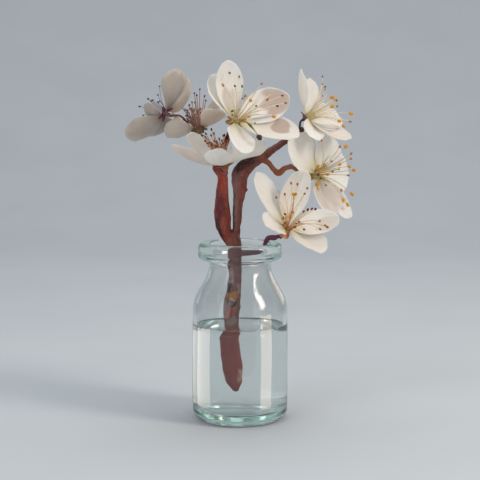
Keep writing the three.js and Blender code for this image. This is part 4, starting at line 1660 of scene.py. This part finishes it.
    def sepals(self, shell: Shell, measures: SmallParts) -> None:
        """Add five sepals, each darker at its root.

        Args:
            shell: what to add them to.
            measures: their measures.
        """
        place, drop = measures.sepal_place
        for k, out in enumerate(self.gap_directions()):
            claw = (out * place - self.axis * drop) * self.cup_size
            along = unit(out * measures.sepal_out + self.axis * self.sepal_rise)
            across, seed = np.cross(self.axis, out), 5.0 * k + self.number
            size = (self.sepal_length, self.sepal_width, measures.sepal_sag)
            sepal = Blade(claw, along, across, *size, 0.0, seed, SEPAL_FORM)
            points, faces, s, _ = sepal.surface()
            shade = (0.75 + 0.45 * s)[:, None] * np.array(linear(self.palette.calyx))
            shell.add(points + np.array(self.heart), faces, tint=shade)

    def stem(self, shell: Shell, measures: SmallParts) -> Array:
        """Add the stalk, a slightly uneven tube from under the cup through its stations to the twig.

        Args:
            shell: what to add it to.
            measures: its measures.

        Returns:
            Its path.
        """
        heart = np.array(self.heart)
        under = [heart - self.axis * drop * self.cup_size for drop in measures.stalk_starts]
        route = np.array([*under, *self.stalk])
        girth = np.interp(np.linspace(0, 1, len(route)), *zip(*measures.stalk_girth))
        path = spline(np.column_stack([route, girth * self.stalk_girth]), measures.stalk_rings)
        _, reference = upright_frame(unit(route[-1] - route[0]))
        points, faces = tube(path, measures.stalk_sides, reference)
        lumps = measures.stalk_lump * smooth_noise(points, measures.stalk_lump_size, 9.0)
        points = points + lumps[:, None]
        shell.add(points, faces, tint=np.array([linear(self.palette.stalk)]))
        return path

    def bud_scales(self, shell: Shell, path: Array, measures: SmallParts) -> None:
        """Add brown scales that clasp the foot of the stalk, each a golden turn on from the last.

        Args:
            shell: what to add them to.
            path: the stalk's path.
            measures: their measures.
        """
        place, size = measures.scale_place, (measures.scale_length, measures.scale_width)
        foot, way = path[-3, :3], unit(path[-10, :3] - path[-3, :3])
        first, _ = upright_frame(way)
        for k in range(self.scales):
            out = turned_about(first, way, np.array(k * GOLDEN_TURN + self.number))
            claw, along = foot + out * place - way * place, unit(way + out * measures.scale_lean)
            across = np.cross(out, way)
            scale = Blade(claw, along, across, *size, measures.scale_sag, 0.0, 3.0 * k, SCALE_FORM)
            points, faces, s, _ = scale.surface()
            shade = (0.7 + 0.6 * s)[:, None] * np.array(linear(self.palette.scale))
            shell.add(points, faces, tint=shade)

    def calyx(self, measures: SmallParts, finish: Material) -> Piece:
        """Make the cup, its sepals, the stalk and the bud scales at its foot.

        Args:
            measures: the measures of its parts.
            finish: its finish.

        Returns:
            The piece.
        """
        shell = Shell()
        self.cup(shell)
        self.sepals(shell, measures)
        self.bud_scales(shell, self.stem(shell, measures), measures)
        return shell.make(f"blossom_{self.number}_calyx", finish, "calyx", [f"bloom_{self.number}_calyx"])

    def build(self, finishes: dict[str, Material]) -> list[Piece]:
        """Make every piece of the blossom.

        Args:
            finishes: each finish, by the name of what it dresses.

        Returns:
            The pieces.
        """
        return [
            self.corolla(finishes[self.light.value]),
            *self.stamens(Stamens(), finishes["thread"], finishes["pollen"]),
            self.pistil_piece(SmallParts(), finishes["thread"]),
            self.calyx(SmallParts(), finishes["calyx"]),
        ]


BLOSSOMS = [
    # The upper left blossom, in shade, seen from behind, its petals greyed by painted shade
    Blossom(
        number=1, heart=(-19, 4, 77), facing=(-0.5, 0.72, 0.4),
        petals=[
            (4.3, 4.5, 10.3, 9), (6.4, 7.5, 7.4, 8), (-3.4, 9.5, -6.2, 7.6), (-9.3, 4, -7, 8.6),
            (-5.2, 1.6, 0.8, 4.8),
        ],
        anthers=[(-1.5, 6.5), (-2, 4.3), (-4.5, 3.3), (-3.3, 3), (-4.5, 1.3), (-4.8, -0.2), (-5.8, -0.9)],
        tones="ssssssr",
        inner="sss", reach=9.5, side=1, depth=7, spare=2,
        stalk=[(-15.0, 5.3, 76.0), (-13.2, 7.8, 74.0), (-11.4, 7.6, 71.8), (-9.2, 5.7, 69.8)],
        stalk_girth=0.7,
        palette=Palette("9c8b8b", "8d6a68", "70414b", "7d6a4a", "75484a", "5d4a30"),
        light=Light.SHADE_PAINTED, pistil=Pistil(style="8d7d78", head="5c524c"),
        cup_size=0.52, sepal_length=1.8, sepal_width=0.95, scales=0,
        painted_shades=(
            PaintedShade(0, 0.45, -0.1, 0.5, 1.1, 0.65), PaintedShade(0, 0.5, 0, 2, 3, 0.4), PaintedShade(1, 0.5, 0, 2, 3, 0.3),
            PaintedShade(2, 0.5, 0, 2, 3, 0.6), PaintedShade(3, 0.5, 0, 2, 3, 0.35), PaintedShade(4, 0.5, 0, 2, 3, 0.6),
        ),
    ),
    # The large blossom in front
    Blossom(
        number=2, heart=(-1, -7, 75), facing=(0.5, -0.5, 0.7),
        petals=[
            (-1.8, 0.5, 14.4, 7.2, -25), (-5.2, 3.5, 11.3, 8.6, -20), (12.7, 7, 6.4, 9), (15.5, 0, -3.2, 9.6),
            (1.7, -9.5, -7.4, 7.6),
        ],
        anthers=[
            (-1.5, 11.4), (0.8, 10.5), (-3, 8.4), (-0.2, 8.2), (1.5, 8.1), (2.2, 5.8), (3.5, 4.8), (6.2, 8.8),
            (4.8, 3.5), (7.5, 5), (11.2, 6), (12, 4.2), (10, 3.5), (9, 1), (4.5, -0.5),
        ],
        shed=[
            (-0.8, 7.4), (0.6, 6.6), (2.6, 7.4), (3.4, 6.6), (4.6, 6.8), (5.6, 6), (6.8, 6.4), (8.4, 6.2),
            (6.4, 3.6), (8.8, 4.4), (7.2, 2.6), (5.4, 1.6),
        ],
        near=[(-1.6, 0.8), (-0.8, 1.4), (0.2, 1), (0.9, 0.3), (-0.4, 0.1), (-1.2, -0.3)],
        tones="rraroagaoarrmgo" + "b" * 12 + "aoaaoa",
        inner="gogaog", reach=10.5, side=-1, depth=9, spare=1,
        stalk=[(-2.7, -3.6, 72.2), (-2.9, -1.2, 71.6), (-3, 0.9, 70.8)],
        palette=Palette("f3ead4", "d8c47c", "9a763e", "bf9c4a", "80452a", "6a3220"),
        pistil=Pistil((5.6, -6, -3.9), "98994c", "40221c", 0.84, 0.68, 0.2),
        cup_size=0.78, sepal_length=1.7, sepal_width=1.6, scales=3,
        painted_shades=(
            PaintedShade(2, 0.86, -0.1, 0.36, 1.1, 0.85), PaintedShade(3, 0.68, 0.42, 0.17, 0.5, 0.9),
            PaintedShade(0, 0.25, 0.1, 0.28, 0.7, 0.4), PaintedShade(4, 0.3, 0.5, 0.2, 0.6, 0.2),
            PaintedShade(3, 0.5, 0, 2, 3, 0.2),
        ),
    ),
    # The low left blossom, which faces up
    Blossom(
        number=3, heart=(-3.8, -3, 64.3), facing=(-0.2, -0.15, 0.97),
        petals=[
            (-13, -2, 4.6, 8.4, 20), (-8.6, 3.4, 7.6, 8.8), (-2.4, -10, 4, 6.8), (9.4, -4.5, 6, 9.4, -45),
            (9, 6.5, 6.2, 8.8),
        ],
        anthers=[
            (-5.5, 7), (-4.5, 7.5), (-2.5, 7.6), (-3.2, 8.5), (-4.6, 5.8), (0, 7.2), (-3.6, 5.4), (-2.4, 5.8),
            (-1.2, 6.2), (-0.4, 5.2), (0.8, 5.8), (-4.1, 5.2), (-3, 5.2), (-1.8, 5.5), (0.2, 5.5), (-2, 4.6),
            (-3.3, 4.3), (-0.9, 4.4), (-3.8, 4.6), (-2.6, 4.9), (-1.4, 5), (-0.2, 4.6), (0.6, 4.6), (-3, 3.6),
            (-1.8, 3.7), (-0.6, 3.6), (0.3, 3.6), (-2.4, 4.2),
        ],
        tones="ssomrsrrrrrrrrrrtttttttttttt",
        inner="aaaaaatttttt", reach=9, side=-1, depth=4, spare=4, thread=1.5,
        stalk=[(-4.0, -0.6, 62.0), (-4.8, 1.8, 62.3)],
        palette=Palette("ecbd9c", "d8966c", "9a5232", "b5763c", "94463a", "8a4a36"),
        pistil=Pistil(style="c08a62", head="8a5a3a"),
        cup_size=0.62, sepal_rise=0.25, scales=0,
        painted_shades=(PaintedShade(0, 0.5, 0, 1.2, 2, 0.55),),
    ),
    # The upper right blossom
    Blossom(
        number=4, heart=(17, 4, 75.8), facing=(0.8, -0.15, 0.5),
        petals=[
            (-1.9, -3, 11.6, 7.6, 14), (1.6, 5, 9.2, 8.6), (8.4, 6, 0.2, 9.8), (10.8, -2, -5.4, 7.6, 25),
            (1.6, -6.5, -5.6, 6.2, 35),
        ],
        anthers=[
            (3.6, 10), (3.8, 8.2), (4, 7.4), (3.8, 5.2), (5.8, 4.8), (7.3, 4.2), (5.8, 2.5), (10.8, 0.8),
            (7.6, -1), (10.6, -1.2), (8.6, -2.2),
        ],
        shed=[
            (2.9, 7), (4.4, 6.4), (5, 5.6), (5.6, 5.4), (6.4, 4.4), (6.4, 3.4), (7, 2.9), (7.2, 1.9),
            (7.4, 1), (6.6, 0.2), (7.8, 0.2), (6.8, -0.6),
        ],
        tones="oooogggggag" + "b" * 12,
        reach=10.5, side=0, depth=4, spare=3,
        stalk=[(15, 4.2, 73.4), (15.1, 3.8, 72)], stalk_girth=0.65,
        palette=Palette("f2e8cf", "e0cf95", "6a4654", "b8a46a", "543640", "5a4038"),
        pistil=Pistil(style="e2d6b4", head="d8c68a", head_length=0.25, head_width=0.18),
        cup_size=0.52, sepal_length=1.5, sepal_width=1.4, scales=2,
        painted_shades=(PaintedShade(0, 0.5, 0, 1.2, 2, 0.08), PaintedShade(3, 0.5, 0, 2, 3, 0.3)),
    ),
    # The middle right blossom
    Blossom(
        number=5, heart=(19.3, 3, 61.6), facing=(0.64, -0.68, 0.18),
        petals=[
            (-7.2, -5.5, 9, 10.4), (4.6, 4.5, 8.6, 9.4), (8.4, 5.5, -0.4, 10), (8.6, 0.5, -11.2, 5.8),
            (3.9, -4.3, -9.8, 9),
        ],
        anthers=[
            (0.7, 8.5), (5.2, 7), (7, 7), (8.2, 5.2), (3, 3.5), (5, 2.8), (8, 4), (7.5, 2.2), (8.8, 1.2),
            (5.5, -3.6), (8.5, -4.8), (6.2, -6.2), (7.8, -7.8),
        ],
        near=[
            (-2.3, 0.3), (0.7, 0.7), (2.4, 0.05), (-0.1, -2.4), (-0.1, -3.9), (2.1, -2.7), (-0.9, -0.7),
            (0.7, -0.9), (0, 0),
        ],
        tones="aagaagaggaggg" + "aggggoamm",
        inner="gog", reach=10.5, side=-1, depth=9, spare=2,
        stalk=[(15.4, 5, 61.8), (12.8, 3.7, 63.4)],
        palette=Palette("cfcab6", "dcc55c", "b0a350", "c89a3c", "96593f", "8a4f3c"),
        cup_size=0.75, scales=0,
        painted_shades=(PaintedShade(4, 0.55, 0.2, 0.6, 1.2, 0.45), PaintedShade(3, 0.35, 0, 0.3, 1.0, 0.3)),
    ),
    # The low right blossom, at the rim
    Blossom(
        number=6, heart=(11.4, -8, 49.2), facing=(0.4, -0.45, 0.7),
        petals=[
            (-7.3, 2, 13.3, 7.6), (-5.6, -8, 1.8, 7.4), (4.5, 2, 13.7, 7.4), (12.8, 2.5, 2.2, 8.6),
            (9.3, -3, -5.4, 8.8),
        ],
        anthers=[
            (1, 10.7), (2.5, 10.5), (4.9, 9.5), (-0.8, 8.5), (1.8, 8.5), (4, 8.5), (-2.8, 7.8), (1, 4.5),
            (-0.8, 4), (2.5, 2.2), (7.5, 2.2), (8.9, 1), (9.5, 0.5), (7.6, 0.3), (3.7, 0.4), (3.6, 4.6),
            (6.5, 5), (4.6, 5), (5.6, 5.1),
        ],
        tones="rrrraroamrorrrrmmmm",
        inner="rmarma", reach=10.5, side=-1, depth=9, spare=0,
        stalk=[(9.6, -6.3, 46.8), (8.6, -5.4, 46.4)],
        palette=Palette("edd3a8", "c78a52", "c98a58", "c27c3c", "5f3146", "6a3a40"),
        pistil=Pistil((1.4, -5, 8.4), "c08c42", "d39c2e", 0.44, 0.52),
        cup_size=0.9, scales=0,
        painted_shades=(
            PaintedShade(3, 0.85, -0.3, 0.35, 0.9, 0.4), PaintedShade(2, 0.5, 0.4, 0.5, 0.8, 0.25),
            PaintedShade(4, 0.5, 0, 2, 3, 0.15),
        ),
    ),
    # The shaded blossom, half hidden by its neighbours, its petals greyed by painted shade
    Blossom(
        number=7, heart=(-10.4, 7, 73.2), facing=(-0.15, 0.45, 0.88),
        petals=[
            (-8.8, 0.2, -1.4, 7.3, 20), (-6.8, 4.8, 4, 7), (-1.5, 9.5, 1.5, 7.8), (3.4, 7.5, 6.8, 8.6),
            (6.3, -3, 3.8, 8),
        ],
        anthers=[
            (-1.2, 8.5), (-0.6, 8), (0.2, 9.5), (1.4, 7.8), (-1.8, 6.2), (-2.5, 5.5), (-3, 4.2), (-1.6, 4.2),
            (1, 4), (-3.9, 1.8), (-3.3, 2.8), (-2.6, 3.5), (-2, 4.6), (-1.4, 3.9), (-0.8, 4.9), (-0.2, 4.2),
            (0.4, 4.6), (-3, 2), (-2.1, 2.6), (-1.1, 3.1), (-0.1, 3.2), (0.8, 3.5), (-0.6, 2.4), (-1.7, 1.8),
            (0.4, 2.4),
        ],
        near=[
            (-3.4, 4.4), (-2.8, 3.7), (-2.3, 4.6), (-1.7, 4), (-1.1, 4.5), (-0.4, 4.1), (0.2, 4.6), (-3, 3),
            (-2.4, 2.6), (-1.8, 3.2), (-1.2, 2.8), (-0.6, 3.3), (0, 2.9), (0.5, 3.6),
        ],
        tones="sssssssss" + "d" * 30,
        inner="dddddddddd", reach=9.8, side=1, depth=2, spare=2, thread=1.5,
        stalk=[(-9.9, 6.1, 71), (-9, 5.6, 69.8)],
        palette=Palette("aa8576", "96665a", "7a6440", "8d7040", "7c4430", "7a4430"),
        light=Light.SHADE_PAINTED, pistil=Pistil(style="8d6f5c", head="5c4a40"),
        cup_size=0.62, sepal_length=1.5, sepal_width=1.4, scales=6,
    ),
]


# The studio


class Role(Enum):
    """What a lamp does: a soft box lights and glosses, a fill only lights, and a reflector only glosses."""

    SOFTBOX = "softbox"
    FILL = "fill"
    REFLECTOR = "reflector"


@dataclass(frozen=True)
class Lamp:
    """A rectangular soft lamp."""

    name: str
    place: Place
    aim: Place
    width: float
    height: float
    power: float
    colour: str
    role: Role = Role.SOFTBOX

    def build(self) -> None:
        """Hang the lamp."""
        data = bpy.data.lights.new(self.name, "AREA")
        data.shape, data.size, data.size_y = "RECTANGLE", self.width, self.height
        data.energy, data.color = self.power, linear(self.colour)[:3]
        lamp = bpy.data.objects.new(self.name, data)
        lamp.location = self.place
        lamp.rotation_euler = (Vector(self.aim) - Vector(self.place)).to_track_quat("-Z", "Y").to_euler()
        if self.role is Role.REFLECTOR:
            lamp.visible_camera = lamp.visible_diffuse = lamp.visible_transmission = False
            lamp.visible_volume_scatter = False
        lamp.visible_glossy = self.role is not Role.FILL
        bpy.context.scene.collection.objects.link(lamp)
        log.info("%s: %.2f W", self.name, self.power)


# Places, widths and heights in metres. The strips stand close to the vial, and each shows as a pale band
VIAL_MIDDLE = (0.0, 0.0, 0.05)
LAMPS = (
    Lamp("key_softbox", (0.43, -0.22, 0.32), VIAL_MIDDLE, 0.13, 0.3, 1.35, "fff2e6"),
    Lamp("fill_softbox", (-0.4, -0.45, 0.25), VIAL_MIDDLE, 0.35, 0.45, 1.05, "f4f4fa", Role.FILL),
    Lamp("top_softbox", (0.05, 0.1, 0.6), VIAL_MIDDLE, 0.4, 0.4, 0.9, "ffffff"),
    Lamp(
        "right_strip", (0.0225, -0.0174, 0.0135), (0.0056, -0.0067, 0.0135),
        0.0125, 0.027, 0.0054, "ffe8d4", Role.REFLECTOR,
    ),
    Lamp(
        "left_strip", (-0.0256, -0.0048, 0.0105), (-0.005, -0.0055, 0.0105),
        0.0178, 0.021, 0.0045, "ffefe0", Role.REFLECTOR,
    ),
    Lamp(
        "left_edge_strip", (-0.0226, 0.009, 0.0105), (-0.0064, -0.0026, 0.0105),
        0.0125, 0.021, 0.0008, "ffefe0", Role.REFLECTOR,
    ),
    Lamp("right_card", (0.36, 0.42, 0.13), (0.0, 0.0, 0.04), 0.22, 0.16, 0.2, "ffd9b8", Role.REFLECTOR),
    Lamp("left_card", (-0.38, 0.36, 0.1), (0.0, 0.0, 0.04), 0.1, 0.1, 0.03, "ffe6d2", Role.REFLECTOR),
)


@dataclass
class Studio:
    """The pale floor that sweeps up behind, the lamps, the sky and the camera."""

    half_width: float = 1.4
    front: float = -1.2
    bend_start: float = 0.35
    bend_radius: float = 0.5
    top: float = 1.6
    sky: str = "e0e5ea"
    sky_strength: float = 0.62
    bounces: int = 40
    camera_place: Place = (0.0, -0.3, 0.0786)
    camera_aim: Place = (0.0, 0.0, 0.0452)
    lens: float = 90.556
    lamps: tuple[Lamp, ...] = LAMPS

    def sweep(self) -> Piece:
        """A floor that turns up behind in a quarter circle: a line of distance and height, drawn sideways.

        Returns:
            The floor.
        """
        turn = np.linspace(0, np.pi / 2, 24)
        back = self.bend_start + self.bend_radius
        away = np.concatenate([[self.front], self.bend_start + self.bend_radius * np.sin(turn), [back]])
        rise = np.concatenate([[0.0], self.bend_radius * (1 - np.cos(turn)), [self.top]])
        across = np.linspace(-self.half_width, self.half_width, 9)
        aside, behind = np.meshgrid(across, away)
        points = np.stack([aside, behind, rise[:, None] + 0 * aside], axis=-1).reshape(-1, 3)
        mesh = bpy.data.meshes.new("studio_floor")
        mesh.from_pydata(points.tolist(), [], grid_faces(len(away), len(across)).tolist())
        mesh.shade_smooth()
        mesh.materials.append(StageFinish().material())
        floor = bpy.data.objects.new("studio_floor", mesh)
        bpy.context.scene.collection.objects.link(floor)
        return floor

    def camera(self) -> None:
        """Set the camera at the photograph's angle."""
        data = bpy.data.cameras.new("view_camera")
        data.sensor_fit, data.sensor_width, data.lens = "HORIZONTAL", 36.0, self.lens
        data.clip_start, data.clip_end = 0.01, 20.0
        camera = bpy.data.objects.new("view_camera", data)
        camera.location = self.camera_place
        aim = Vector(self.camera_aim) - Vector(self.camera_place)
        camera.rotation_euler = aim.to_track_quat("-Z", "Y").to_euler()
        bpy.context.scene.collection.objects.link(camera)
        bpy.context.scene.camera = camera

    def build(self) -> None:
        """Set up the sweep, the sky, the lamps and the camera."""
        scene = bpy.context.scene
        world = bpy.data.worlds.new("studio_sky")
        world.use_nodes = True
        back = world.node_tree.nodes["Background"]
        back.inputs["Color"].default_value = linear(self.sky)
        back.inputs["Strength"].default_value = self.sky_strength
        scene.world = world
        scene.view_settings.view_transform = "Standard"
        # Light that is caught in the vial's rim and foot turns many times before it leaves
        paths = scene.cycles
        paths.max_bounces = paths.glossy_bounces = paths.transmission_bounces = self.bounces
        self.sweep()
        for lamp in self.lamps:
            lamp.build()
        self.camera()


def main() -> None:
    """Build the sprig, its vial and the studio."""
    logging.basicConfig(level=logging.INFO, format="%(message)s")
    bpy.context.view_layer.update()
    Studio().build()
    Vial().build()
    Twig().build()
    finishes = {
        Light.LIT.value: PetalFinish(
            "plum_petal", body="efe8dd", claw="dfd3a6", vein="dccfc0", shade="b39c90"
        ).material(),
        # The copy for blossoms in shade is greyer all over: painted shade
        Light.SHADE_PAINTED.value: PetalFinish(
            "plum_petal_with_painted_shade", body="d0c1b3", claw="b49c8c", vein="a89a8f", shade="7f7e7a", glow=0.4
        ).material(),
        "thread": TintedFinish("stamen_thread", grain=0.5, relief=0.01, roughness=0.5, glow=0.2).material(),
        "pollen": TintedFinish("mealy_anther", grain=0.14, relief=0.04, roughness=0.85).material(),
        "calyx": TintedFinish("waxy_calyx", grain=0.35, relief=0.05, roughness=0.5).material(),
    }
    for blossom in BLOSSOMS:
        blossom.build(finishes)


if __name__ == "__main__":
    main()
